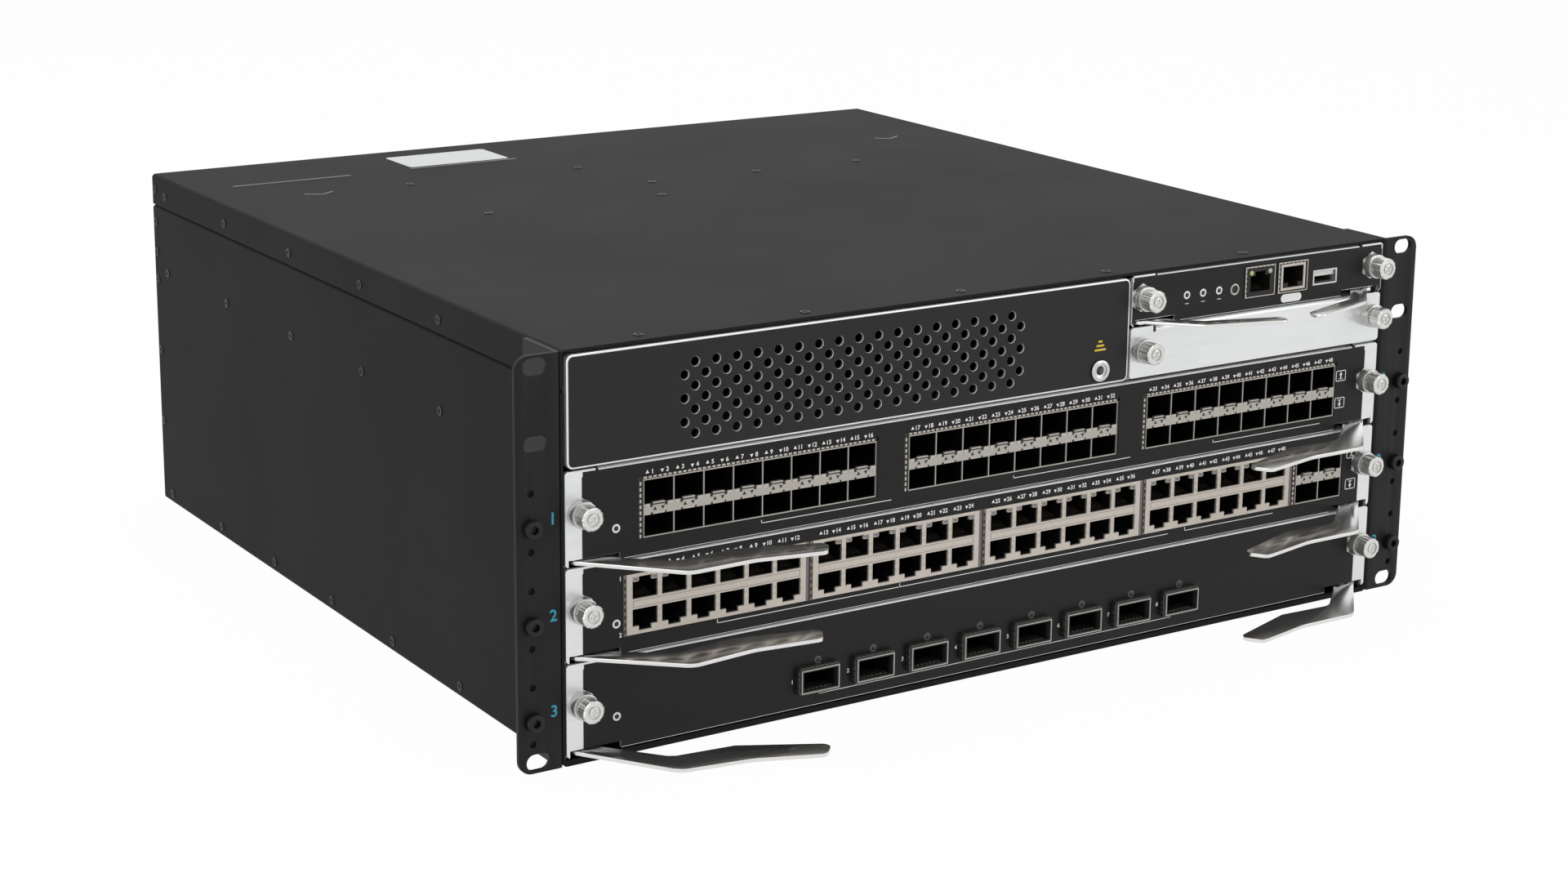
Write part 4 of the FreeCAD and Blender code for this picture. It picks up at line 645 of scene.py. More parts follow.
# The inlet's film is a lighter copy of the panels' black film: painted light, for the lighter tone the low
# inlet face takes.
inlet_film = finish("inlet_panel_film", (36, 35, 35), 0.4, grain=3200.0, spread=0.08, relief=0.012,
                    smear=0.04, shine=0.2)
tray_low, tray_high = corners("inlet_panel")
tray = plate(*zip(tray_low, tray_high), INLET_CORNER)
edges_where(tray, lambda a, b: max(a.y, b.y) < tray_low.y + 0.01)
bpy.ops.mesh.bevel(offset=INLET_EDGE * MM, segments=3)
faces_where(tray, lambda c, n: n.y > 0.9)
bpy.ops.mesh.inset(thickness=INLET_SHEET * MM)
hollow = (tray_low.y + INLET_SHEET - tray_high.y) * MM
bpy.ops.mesh.extrude_region_move(TRANSFORM_OT_translate={"value": (0, hollow, 0)})
faces_where(tray, lambda c, n: n.y < -0.99 and c.y < tray_low.y + 0.01)
bpy.ops.mesh.inset(thickness=FILM_BORDER * MM)
bpy.ops.object.mode_set(mode="OBJECT")
tray.data.materials.clear()
tray.data.materials.append(bare_sheet)
tray.data.materials.append(inlet_film)
for face in tray.data.polygons:
    face.material_index = 1 if face.select else 0
punch = rod(0, 0, AIR_RADIUS, (tray_low.y + AIR_RIM, tray_low.y + AIR_DEPTH), 20)
faces_where(punch, lambda c, n: n.y < -0.9)
bpy.ops.mesh.extrude_region_move(TRANSFORM_OT_translate={"value": (0, -2 * AIR_RIM * MM, 0)})
bpy.ops.transform.resize(value=(1 + 2 * AIR_RIM / AIR_RADIUS,) * 3)
bpy.ops.object.mode_set(mode="OBJECT")
punched_edge = finish("punched_edge", (172, 172, 171), 0.35, metal=0.7, grain=900.0, spread=0.1, relief=0.01)
punch.data.materials.append(punched_edge)
punches = []
for column in range(AIR_COLUMNS):
    odd = column % 2
    for row in range(3 + odd):
        height = tray_high.z - AIR_DROP + odd * AIR_PITCH - row * 2 * AIR_PITCH
        punches.append(copied(punch, AIR_FIRST_X + column * AIR_PITCH, 0, height))
bpy.data.objects.remove(punch)
earth_z = tray_low.z - 0.2 + EARTH_RISE
punches.append(rod(EARTH_X, earth_z, EARTH_HOLE, (tray_low.y - 1, tray_low.y + AIR_DEPTH), 28))
tray = cut(tray, joined(punches))
finished(tray, "air_inlet_tray", None, "chassis", "black_film", "inlet_panel")

# ---- Earth jack -----------------------------------------------------------------------------
# A turned and nickel-plated brass socket for a wrist strap's plug, held by a nut behind the sheet.
# Three plain yellow bars above it stand for its printed mark.

EARTH_BARREL = 3.55
EARTH_COLLAR = 5.0
EARTH_NUT = (5.2, 2.5)
EARTH_DISH = (3.1, 0.8)
EARTH_BORE = 2.05
EARTH_BARS = (6.2, 4.2, 2.2)
EARTH_BAR_TALL = 0.9
EARTH_MARK_RISE = 9
EARTH_MARK_STEP = 1.9


def slab(x, z, wide, tall, depth):
    """Bar from its lower left corner, its width and height, and its ends in depth."""
    return bar((x, x + wide), depth, (z, z + tall))


def turned(radius, front, end, sides):
    """Round length of the earth jack between two depths."""
    return rod(EARTH_X, earth_z, radius, (front, end), sides)


nickel = finish("polished_nickel", (196, 197, 198), 0.14, metal=1.0, grain=700.0, spread=0.04, relief=0.006)
earth_low, earth_high = corners("earth_jack")
earth_y, tray_y = earth_low.y, tray_low.y
nut_radius, nut_thick = EARTH_NUT
dish_radius, dish_depth = EARTH_DISH
barrel = turned(EARTH_BARREL, earth_y + 0.6, earth_high.y, 32)
jack = fused(eased(turned(EARTH_COLLAR, earth_y, tray_y, 40), 0.45), barrel)
nut = turned(nut_radius, tray_y + INLET_SHEET, tray_y + INLET_SHEET + nut_thick, 6)
jack = fused(jack, eased(nut, 0.25, 1))
jack = cut(jack, turned(dish_radius, earth_y - 1, earth_y + dish_depth, 32))
jack = cut(jack, turned(EARTH_BORE, earth_y - 1, earth_high.y - 2, 24))
finished(eased(jack, 0.25), "earth_socket", nickel, "chassis", "nickel", "earth_jack")
ink_yellow = finish("yellow_ink", (222, 190, 60), 0.5, grain=900.0, spread=0.05, relief=0.0)
marks = [slab(EARTH_X - wide / 2, earth_z + EARTH_MARK_RISE + i * EARTH_MARK_STEP, wide, EARTH_BAR_TALL,
              (tray_y - INK, tray_y + 0.02)) for i, wide in enumerate(EARTH_BARS)]
finished(joined(marks), "earth_mark", ink_yellow, "chassis", None)

# ---- Captive thumb screws and their bushes --------------------------------------------------
# Each module is held by steel thumb screws with a straight knurl, a chamfered rim and a cross
# recess, turned and nickel plated. They sit in smooth bright bushes pressed into the panels.

KNOB_RADIUS = 5.0
KNOB_LENGTH = 6.6
KNURLS = 72
KNURL_DEPTH = 0.94
KNOB_CHAMFER = 0.55
RECESS_RADIUS = 3.0
RECESS_DEPTH = 0.9
CORE_RADIUS = 2.2
CROSS = (3.2, 0.8, 0.7)
RIM_SHARE = 0.87
SHANK = (2.0, 12.9)
BUSH_RADIUS = 5.7
BUSH_BORE = 3.0
BUSH_ENDS = (-0.06, 4.9)
BUSH_SETBACK = 0.2
REST_TURN = 37

turned_steel = finish("knurled_steel", (214, 213, 210), 0.3, metal=0.78, grain=900.0, spread=0.08,
                      relief=0.015)
bush_metal = finish("bush_metal", (196, 196, 194), 0.3, metal=0.8, grain=500.0, spread=0.05, relief=0.01)

knob = rod(0, 0, KNOB_RADIUS, (-KNOB_LENGTH + KNOB_CHAMFER, -KNOB_CHAMFER), KNURLS)
turn_step = 2 * math.pi / KNURLS


def even_ridge(a, b):
    """True for every other long edge round a knob."""
    place = round(math.atan2(a.z, a.x) / turn_step - 0.5)
    return abs(a.y - b.y) > 1 and place % 2 == 0


edges_where(knob, even_ridge)
bpy.ops.transform.resize(value=(KNURL_DEPTH, 1, KNURL_DEPTH), center_override=(0, 0, 0))
for side in (-1, 1):
    faces_where(knob, lambda c, n: n.y * side > 0.9)
    bpy.ops.mesh.extrude_region_move(TRANSFORM_OT_translate={"value": (0, side * KNOB_CHAMFER * MM, 0)})
    bpy.ops.transform.resize(value=(RIM_SHARE, 1, RIM_SHARE), center_override=(0, 0, 0))
bpy.ops.object.mode_set(mode="OBJECT")
span, wide, deep = CROSS
shank_radius, shank_end = SHANK
knob = cut(knob, rod(0, 0, RECESS_RADIUS, (-KNOB_LENGTH - 1, -KNOB_LENGTH + RECESS_DEPTH), 32))
core = eased(rod(0, 0, CORE_RADIUS, (-KNOB_LENGTH + 0.25, -KNOB_LENGTH + 1.5), 24), 0.25)
core = cut(core, cross_recess(span, wide, (-KNOB_LENGTH - 0.5, -KNOB_LENGTH + deep)))
knob = joined([knob, core, eased(rod(0, 0, shank_radius, (-1, shank_end), 16), 0.3)])
bush = eased(cut(rod(0, 0, BUSH_RADIUS, BUSH_ENDS, 48), rod(0, 0, BUSH_BORE, (-1, 6), 32)), 0.3)


def centre_of(low, high):
    """Middle of a box across and in height."""
    return (low.x + high.x) / 2, (low.z + high.z) / 2


bushes = {}
for module in ("card_1", "card_2", "card_3", "control", "filler"):
    for side in ("left", "right"):
        node = "%s_%s_screw" % (module, side)
        low, high = corners(node)
        x, z = centre_of(low, high)
        at_rest = Matrix.Rotation(math.radians(REST_TURN * (x + z)), 4, "Y")
        screw = copied(knob, x, low.y + KNOB_LENGTH, z, at_rest)
        finished(screw, node + "_knob", turned_steel, node, "knob_metal", node)
        bushes.setdefault(module, []).append(copied(bush, x, low.y + KNOB_LENGTH + BUSH_SETBACK, z))
for body, pieces in bushes.items():
    finished(joined(pieces), body + "_bushes", bush_metal, body, "bare_panel")
low, high = corners("fan_tray_screw")
x, z = centre_of(low, high)
screw = copied(knob, x, high.y - KNOB_LENGTH, z, Matrix.Rotation(math.pi, 4, "Z"))
finished(screw, "fan_tray_screw_knob", turned_steel, "fan_tray_screw", "knob_metal", "fan_tray_screw")
bpy.data.objects.remove(knob)
bpy.data.objects.remove(bush)

# ---- Module panels and films ----------------------------------------------------------------
# The panels are folded from bright 1.5 mm sheet. A black film with cut-outs covers the middle of
# each; the sheet stays bare at the ends and above. A strip in the film's colour over the lower
# part of the folded top edge is painted shade, for the dark gap between the modules.

TOP_SHADE_REACH = 1.3
TOP_SHADE_LAP = 0.5
TOP_SHADE_END = 0.4

dress(bare_sheet, "card_1_panel", "card_2_panel", "card_3_panel", "control_panel", "filler_panel")
dress(film, "card_1_overlay", "card_2_overlay", "card_3_overlay", "control_overlay")
for module in ("card_1", "card_2", "card_3", "control"):
    # Painted shade: a dark strip up the folded top edge, for the gap between modules.
    low, high = corners(module + "_overlay")
    edge = bar((low.x + TOP_SHADE_END, high.x - TOP_SHADE_END), (low.y - 0.02, high.y),
               (high.z - TOP_SHADE_LAP, high.z + TOP_SHADE_REACH))
    finished(eased(edge, 0.08, 1), module + "_top_shade_strip", film, module, "black_film")

# ---- Ejector levers -------------------------------------------------------------------------
# Flat levers cut from 1.6 mm steel, tumbled until their edges are round, and polished and nickel
# plated. Each turns on a rivet behind its panel.

LEVER_EDGE = 0.32

tumbled_nickel = finish("tumbled_nickel", (222, 221, 219), 0.25, metal=1.0, grain=2400.0, spread=0.03,
                        relief=0.001, smear=0.03)
for module in ("card_1", "card_2", "card_3", "control"):
    for side in ("left", "right"):
        node = "%s_%s_lever" % (module, side)
        finished(softened(node, LEVER_EDGE), node + "_plate", tumbled_nickel, node, "nickel", node)

# ---- Card 1: stacked cages ------------------------------------------------------------------
# Three ganged cages of folded nickel silver, two rows high, with painted shade inside their
# mouths, and spring fingers before a frame at the top and left of each mouth, painted dark as
# shade. A strip between the rows carries printed arrows, clip tongues and light slots; the slots
# are dark bars of painted shadow.

CAGE_PITCH = 14.25
CAGE_GROUPS = 3
CAGE_GROUP_PITCH = 131.1
CAGE_COLUMNS = 8
CAGE_TALL = 24.7
CAGE_COLLAR = (2.6, 0.9, 1.5)
CAGE_WALL = 0.5
CAGE_ROW = 8.9
FINGER = (1.55, 0.85, 0.75)
FINGER_PLACE = (-1.9, 0.25)
FINGER_PROUD = 0.3
# Each tongue: place over the strip's lower left corner, width, height, reach out and reach in.
TONGUES = ((4.3, 4.55, 5.6, 0.6, 0.35, 1.2), (0.6, 3.45, 2.3, 1.15, 0.25, 0.3),
           (11.3, 3.45, 2.3, 1.15, 0.25, 0.3), (4.3, 0.1, 5.6, 0.65, 0.25, 0.3))
# Each light slot: place over the strip's lower left corner, width and height of a dark bar of painted shadow.
LIGHT_SLOT_SHADOWS = ((3.1, 3.2, 1.1, 1.55), (10.0, 3.2, 1.1, 1.55), (4.2, 3.95, 5.8, 0.6),
               (3.4, -0.05, 0.8, 0.85), (10.0, -0.05, 0.8, 0.85))
STRIP_ARROWS = ((5.3, 2.15, 1), (9.0, 2.55, -1))
STRIP_ARROW = 1.05
ARROW = 0.95

cage_low = corners("card_1_cages")[0]
cage_x = cage_low.x + CAGE_COLLAR[0]
# Painted shade: inside each mouth the cage darkens to near black and loses its metal.
cage_metal = finish("nickel_silver_cage", (172, 168, 160), 0.3, metal=0.8, grain=900.0, spread=0.1,
                    relief=0.01, inside=(cage_low.y + 0.05, 0.7, (9, 9, 9)))
# The mouth frame's dark colour is painted shade behind the spring fingers.
cage_shade = finish("shaded_cage_collar", (38, 36, 35), 0.4, metal=0.5, grain=900.0, spread=0.15, relief=0.01)
strip_metal = finish("cage_strip_metal", (186, 180, 172), 0.36, metal=0.6, grain=700.0, spread=0.08,
                     relief=0.01)
# Black plastic, and painted shadow in the slots of the cage strips.
black_plastic_and_shade = finish("black_plastic_and_shade", (14, 14, 14), 0.5, grain=1500.0, spread=0.2, relief=0.01)
dress(cage_metal, "card_1_cages", "card_2_cage")


def arrow(x, z, way, y, size=ARROW):
    """Small printed triangle that points up or down."""
    bpy.ops.object.select_all(action="DESELECT")
    bpy.ops.mesh.primitive_cylinder_add(vertices=3, radius=size * MM, depth=INK * MM,
                                        location=(x * MM, (y - INK / 2) * MM, z * MM),
                                        rotation=(math.pi / 2, 0, 0))
    bpy.ops.object.transform_apply(location=True, rotation=True, scale=True)
    piece = bpy.context.active_object
    top = max(point.co.z for point in piece.data.vertices)
    points_up = top - z * MM > size * MM * 0.9
    if points_up != (way > 0):
        piece.data.transform(Matrix.Translation((0, 0, 2 * z * MM)) @ Matrix.Scale(-1, 4, (0, 0, 1)))
        piece.data.flip_normals()
    return piece


def cage_trim(x, low, y):
    """Tongues, slots and arrows of one column's strip: metal pieces, and black pieces that are printed arrows
    and painted shadow in the slots.
    """
    strip = low + CAGE_WALL + CAGE_ROW
    metal = [eased(slab(x + across, strip + rise, wide, tall, (y - out, y + into)), 0.08, 1)
             for across, rise, wide, tall, out, into in TONGUES]
    dark = [slab(x + across, strip + rise, wide, tall, (y - 0.12, y + 0.2))
            for across, rise, wide, tall in LIGHT_SLOT_SHADOWS]
    dark += [arrow(x + across, strip + rise, way, y - 0.02, STRIP_ARROW)
             for across, rise, way in STRIP_ARROWS]
    return metal, dark


def spring_fingers(x, low, width, y):
    """Rows of spring fingers along the top and left of a cage's mouth."""
    wide, tall, gap = FINGER
    depth = (y - FINGER_PROUD, y + FINGER_PROUD)
    aside, above = FINGER_PLACE
    count, rows = int(width // (wide + gap)), int(CAGE_TALL // (wide + gap))
    top = [slab(x + i * width / count, low + CAGE_TALL + above, wide, tall, depth) for i in range(count)]
    side = [slab(x + aside, low + i * CAGE_TALL / rows, tall, wide, depth) for i in range(rows)]
    return [eased(joined(row), 0.12, 1) for row in (top, side)]


def mouth_frame(x, low, width, y):
    """Frame of a cage's mouth, behind its spring fingers, as one piece, painted dark as shade."""
    left, right_side, over = CAGE_COLLAR
    depth = (y + 0.1, y + 0.7)
    end = x + width + right_side + 0.05
    top = low + CAGE_TALL + over
    bars = [bar((x - left - 0.05, x - 0.3), depth, (low - 0.05, top)),
            bar((x - 0.4, end), depth, (low + CAGE_TALL + 0.08, top)),
            bar((x + width + 0.3, end), depth, (low - 0.05, top))]
    return eased(joined(bars), 0.06, 1)


def row_of(pieces, steps):
    """The pieces once at each step along X, all in one object; the first is used up."""
    first = joined(pieces)
    return joined([first] + [copied(first, step) for step in steps])


def cage_front(card, low, columns, groups, frame_name):
    """Strip, frame painted dark as shade, and spring fingers of a card's stacked cages."""
    x, width = low.x + CAGE_COLLAR[0], columns * CAGE_PITCH
    jumps = [k * CAGE_GROUP_PITCH for k in range(groups)]
    steps = [i * CAGE_PITCH + jump for jump in jumps for i in range(columns)]
    metal, dark = cage_trim(x, low.z, low.y)
    finished(row_of(metal, steps[1:]), card + "_cage_tongues", strip_metal, card, "cage_metal")
    finished(row_of(dark, steps[1:]), card + "_cage_slots", black_plastic_and_shade, card, "black_plastic", smooth=5)
    mouth = mouth_frame(x, low.z, width, low.y)
    finished(row_of([mouth], jumps[1:]), frame_name, cage_shade, card, "cage_metal")
    fingers = spring_fingers(x, low.z, width, low.y + 0.2)
    finished(row_of(fingers, jumps[1:]), card + "_spring_fingers", strip_metal, card, "cage_metal")


cage_front("card_1", cage_low, CAGE_COLUMNS, CAGE_GROUPS, "card_1_mouth_frames")

# ---- Card 1: printing -----------------------------------------------------------------------
# The film is screen printed in white: port numbers with an up or down triangle, thin brackets
# under the groups, and two boxed arrows. A ring marks the status lamp's light pipe.

NUMBER_HEIGHT = 1.95
NUMBER_RISE = 34.75
NUMBER_PLACES = (2.6, 9.6)
LINE = 0.3
BRACKETS = ((56.4, 66.0), (56.4, 66.0), (40.0, 66.0))
BRACKET_RISE = 4.45
BRACKET_TICK = 1.4
BOX = (6.2, 5.2)
BOX_X = 196.8
BOX_RISES = (26.3, 13.1)
LAMP_X = -196.2
LAMP_RISE = 13.2
LAMP_RADIUS = 1.45
LAMP_LINE = 0.42
LENS_RADIUS = 1.05

ink_white = finish("white_ink", (238, 238, 236), 0.5, grain=900.0, spread=0.04, relief=0.0)
lens_dark = finish("smoked_lens", (22, 22, 24), 0.15, grain=600.0, spread=0.2, relief=0.0)
film_y = corners("card_1_overlay")[0].y
base_1, base_2, base_3 = slot_heights


def line(x, z, y):
    """Thin printed line between the pairs of ends."""
    return bar(x, (y - INK, y + 0.01), z)


def stroke(x, z, wide, tall, y):
    """Thin printed line about a middle point."""
    return line((x - wide / 2, x + wide / 2), (z - tall / 2, z + tall / 2), y)


def boxed_arrow(x, z, way, size, y):
    """Printed arrow in a frame with open corners."""
    wide, tall = size
    thin, reach = LINE * 1.2, tall * 0.27
    pieces = [stroke(x, z + side * (tall - thin) / 2, wide - 2 * thin, thin, y) for side in (-1, 1)]
    pieces += [stroke(x + side * (wide - thin) / 2, z, thin, tall - 2 * thin, y) for side in (-1, 1)]
    pieces += [stroke(x, z, 0.6, 2 * reach, y), stroke(x, z - way * reach, 2.4, 0.3, y)]
    return joined(pieces + [arrow(x, z + way * tall * 0.17, way, y - 0.01, 1.1)])


def bracket(x, span, z, tick):
    """Long printed line that turns up at its left end."""
    return [line((x, x + span), (z, z + LINE), film_y), line((x, x + LINE), (z, z + tick), film_y)]


def port_numbers(x, z, first, places, gap):
    """Numbers of a column's two ports, with a triangle up for the first and down for the next."""
    pieces = []
    for i, place in enumerate(places):
        pieces.append(arrow(x + place - 0.9, z, 1 - 2 * i, film_y))
        pieces.append(printed(str(first + i), x + place + gap, z, NUMBER_HEIGHT, film_y))
    return pieces


def lamp_ring(x, z, radius, y):
    """Thin ring round a light pipe."""
    bpy.ops.object.select_all(action="DESELECT")
    bpy.ops.mesh.primitive_torus_add(major_radius=radius * MM, minor_radius=LAMP_LINE * MM, major_segments=32,
                                     minor_segments=8, location=(x * MM, y * MM, z * MM),
                                     rotation=(math.pi / 2, 0, 0))
    bpy.ops.object.transform_apply(location=True, rotation=True, scale=True)
    piece = bpy.context.active_object
    there = Matrix.Translation((0, y * MM, 0))
    piece.data.transform(there @ Matrix.Scale(0.4, 4, (0, 1, 0)) @ there.inverted())
    return piece


def light_pipe(x, z, radius, y):
    """End of a light pipe, a little domed."""
    return eased(rod(x, z, radius, (y - 0.12, y + 0.5), 24), 0.1)


prints = []
for group, (start, span) in enumerate(BRACKETS):
    left = cage_x + group * CAGE_GROUP_PITCH
    for column in range(CAGE_COLUMNS):
        first = (group * CAGE_COLUMNS + column) * 2 + 1
        prints += port_numbers(left + column * CAGE_PITCH, base_1 + NUMBER_RISE, first, NUMBER_PLACES, 1.6)
    prints += bracket(left + start, span, base_1 + BRACKET_RISE, BRACKET_TICK)
for way, rise in zip((1, -1), BOX_RISES):
    prints.append(boxed_arrow(BOX_X, base_1 + rise, way, BOX, film_y))
prints.append(lamp_ring(LAMP_X, base_1 + LAMP_RISE, LAMP_RADIUS, film_y))
finished(joined(prints), "card_1_printing", ink_white, "card_1", None, smooth=20)
lens = light_pipe(LAMP_X, base_1 + LAMP_RISE, LENS_RADIUS, film_y)
finished(lens, "card_1_status_lens", lens_dark, "card_1", "black_plastic")

# ---- Card 2: jack blocks --------------------------------------------------------------------
# Four ganged blocks of twelve shielded jacks in tinned steel, with black plastic inside, darkened
# further by painted shade behind each port's mouth, eight gilt spring contacts in each port and
# light windows in the upper corners.

BLOCK_FIRST_X = -191.4
BLOCK_PITCH = 90.55
BLOCK_WIDTH = 87.0
BLOCK_HEIGHT = 26.0
BLOCKS = 4
PORTS = 6
PORT_PITCH = 13.94
PORT_WIDTH = 11.85
PORT_HEIGHT = 7.4
PORT_KEY = (6.0, 2.0)
PORT_BAR = 4.4
CONTACTS = 8
CONTACT_PITCH = 1.02
CONTACT_HALVES = (0.2, 0.13)
CONTACT_REACH = (3.2, 14.0)
CONTACT_LEAN = 17
LIGHT_WINDOW = (2.3, 1.35)
WINDOW_FRAME = 0.3
SEAM = 0.16
SEAM_INSET = 3
SEAM_RISES = (-1.45, 1.3)
SEAM_HALF = 1.4
SHIELD_SPRING = (0.7, 1.5)
SHIELD_WALL = 1.4
WALL_NIB = (0.6, 1.7, 3.1)

# Painted shade: past each port's mouth the shield darkens to near black and loses its metal.
tinned = finish("tinned_steel_shield", (196, 188, 178), 0.4, metal=0.45, grain=500.0, spread=0.08,
                relief=0.012, inside=(film_y + 0.15, 1.2, (10, 10, 10)))
tin_trim = finish("tinned_steel_trim", (190, 183, 174), 0.38, metal=0.5, grain=500.0, spread=0.08,
                  relief=0.01)
wall_tin = finish("dull_tin_walls", (112, 108, 103), 0.45, metal=0.5, grain=500.0, spread=0.12, relief=0.01)
gilt = finish("dull_gilt_contact", (88, 80, 68), 0.35, metal=0.6, grain=900.0, spread=0.08, relief=0.004)
light_grey = finish("frosted_light_window", (120, 120, 116), 0.35, grain=900.0, spread=0.1, relief=0.004)
dress(tinned, "card_2_jacks")


def contacts(x, z, way, y):
    """Spring contacts of a port, sloping away from its plain side; way 1 when they rise."""
    half, thin = CONTACT_HALVES
    near, far = CONTACT_REACH
    hinge = Matrix.Translation((0, (y + near) * MM, z * MM))
    lean = hinge @ Matrix.Rotation(way * math.radians(CONTACT_LEAN), 4, "X") @ hinge.inverted()
    wires = []
    for i in range(CONTACTS):
        middle_x = x + PORT_WIDTH / 2 + (i - (CONTACTS - 1) / 2) * CONTACT_PITCH
        wire = bar((middle_x - half, middle_x + half), (y + near, y + far), (z - thin, z + thin))
        wire.data.transform(lean)
        wires.append(wire)
    return joined(wires)


def light_window(x, z, y):
    """Light window with the four bars of its frame, in an upper corner of a port."""
    wide, tall = LIGHT_WINDOW
    window = eased(slab(x, z, wide, tall, (y - 0.08, y + 0.2)), 0.08, 1)
    depth = (y - 0.15, y + 0.2)
    left, low, thin = x - WINDOW_FRAME, z - WINDOW_FRAME, WINDOW_FRAME - 0.02
    over, up = wide + 2 * WINDOW_FRAME, tall + 2 * WINDOW_FRAME
    return window, [slab(left, low, WINDOW_FRAME, up, depth), slab(x + wide, low, WINDOW_FRAME, up, depth),
                    slab(left, low, over, thin, depth), slab(left, z + tall + 0.02, over, thin, depth)]


block_low = corners("card_2_jacks")[0]
block_y, block_z = block_low.y, block_low.z
block_end = BLOCK_FIRST_X + BLOCK_WIDTH
middle = block_z + BLOCK_HEIGHT / 2
port_side = (BLOCK_WIDTH - (PORTS - 1) * PORT_PITCH - PORT_WIDTH) / 2
first_port = BLOCK_FIRST_X + port_side
block_steps = [k * BLOCK_PITCH for k in range(BLOCKS)]
port_steps = [i * PORT_PITCH + step for step in block_steps for i in range(PORTS)]
upper_low = middle + PORT_BAR / 2
lower_top = middle - PORT_BAR / 2
pins = [contacts(first_port, upper_low + 0.5, 1, block_y), contacts(first_port, lower_top - 0.5, -1, block_y)]
finished(row_of(pins, port_steps[1:]), "card_2_contacts", gilt, "card_2", "tin_shield")

windows, frames = [], []
for x in (first_port + WINDOW_FRAME, first_port + PORT_WIDTH - LIGHT_WINDOW[0] - WINDOW_FRAME):
    window, frame_bars = light_window(x, upper_low + PORT_HEIGHT + 0.35, block_y)
    windows.append(window)
    frames += frame_bars
finished(row_of(windows, port_steps[1:]), "card_2_light_windows", light_grey, "card_2", "tin_shield")
finished(row_of(frames, port_steps[1:]), "card_2_window_frames", tin_trim, "card_2", "tin_shield")
seam_left, seam_end = BLOCK_FIRST_X + SEAM_INSET, block_end - SEAM_INSET
seam_depth = (block_y - 0.05, block_y + 0.2)
seams = [slab(seam_left, middle + rise, seam_end - seam_left, SEAM, seam_depth) for rise in SEAM_RISES]
seams += [slab(x, middle - SEAM_HALF, SEAM, 2 * SEAM_HALF, seam_depth) for x in (seam_left, seam_end - SEAM)]
finished(row_of(seams, block_steps[1:]), "card_2_shield_seams", wall_tin, "card_2", "tin_shield")
springs = [eased(slab(x, z, *SHIELD_SPRING, (block_y - 0.22, block_y + 0.2)), 0.1, 1)
           for z in (upper_low + 0.9, upper_low + 3.9, lower_top - 2.4, lower_top - 5.4)
           for x in (first_port - 0.75, first_port + PORT_WIDTH + 0.05)]
finished(row_of(springs, port_steps[1:]), "card_2_shield_springs", tin_trim, "card_2", "tin_shield")
wall_depth = (block_y - 0.1, block_y + 0.3)
walls = [eased(slab(x, block_z - 0.2, SHIELD_WALL, BLOCK_HEIGHT + 0.4, wall_depth), 0.15, 1)
         for x in (BLOCK_FIRST_X - 1.55, block_end + 0.1)]
finished(row_of(walls, block_steps[1:]), "card_2_shield_walls", wall_tin, "card_2", "tin_shield")
wide, tall, rise = WALL_NIB
nibs = [slab(BLOCK_FIRST_X - 1.2, block_z + 1 + i * rise, wide, tall, (block_y - 0.3, block_y))
        for i in range(8)]
finished(row_of(nibs, block_steps[1:]), "card_2_wall_springs", black_plastic_and_shade, "card_2", "black_plastic")
cage_front("card_2", corners("card_2_cage")[0], 2, 1, "card_2_mouth_frame")

# ---- Card 2: printing -----------------------------------------------------------------------
# The same white screen printing: port numbers over the columns, row numbers at the left, three
# brackets, boxed arrows at the right and the lamp's ring.

PORT_NUMBER_RISE = 35.9
PORT_NUMBER_PLACES = (2.0, 8.4)
ROW_NUMBERS = (("1", 32.0), ("2", 8.0))
ROW_NUMBER_X = -194.4
PORT_BRACKETS = ((-148.3, 92.0), (-56.0, 150.0), (104.0, 54.0))
PORT_BOX = (6.4, 5.2)

prints = []
for block in range(BLOCKS):
    for port in range(PORTS):
        x = BLOCK_FIRST_X + block * BLOCK_PITCH + port_side + port * PORT_PITCH
        first = (block * PORTS + port) * 2 + 1
        prints += port_numbers(x, base_2 + PORT_NUMBER_RISE, first, PORT_NUMBER_PLACES, 1.5)
prints += [printed(text, ROW_NUMBER_X, base_2 + rise, NUMBER_HEIGHT, film_y) for text, rise in ROW_NUMBERS]
for x, span in PORT_BRACKETS:
    prints += bracket(x, span, base_2 + 5.0, 1.8)
for way, rise in ((1, 27.7), (-1, 12.3)):
    prints.append(boxed_arrow(206.6, base_2 + rise, way, PORT_BOX, film_y))
prints.append(lamp_ring(LAMP_X, base_2 + LAMP_RISE, LAMP_RADIUS, film_y))
finished(joined(prints), "card_2_printing", ink_white, "card_2", None, smooth=20)
lens = light_pipe(LAMP_X, base_2 + LAMP_RISE, LENS_RADIUS, film_y)
finished(lens, "card_2_status_lens", lens_dark, "card_2", "black_plastic")

# ---- Card 3: wide cages ---------------------------------------------------------------------
# Eight wide die-cast cages stand proud of the film. A band of spring fingers wraps the mouth of
# each, and a small lens above it shows its state.

WIDE_PITCH = 28.57
WIDE_COUNT = 8
WIDE_WIDTH = 19.2
WIDE_HEIGHT = 10.4
WIDE_COLLAR = 0.6
WIDE_RIM = 0.4
BAND_FINGERS = (2.05, 2.4, 2.15, 2.55)
BAND_THICKNESS = 0.4

wide_low = corners("card_3_cages")[0]
wide_x, wide_z = wide_low.x + WIDE_COLLAR, wide_low.z + WIDE_COLLAR
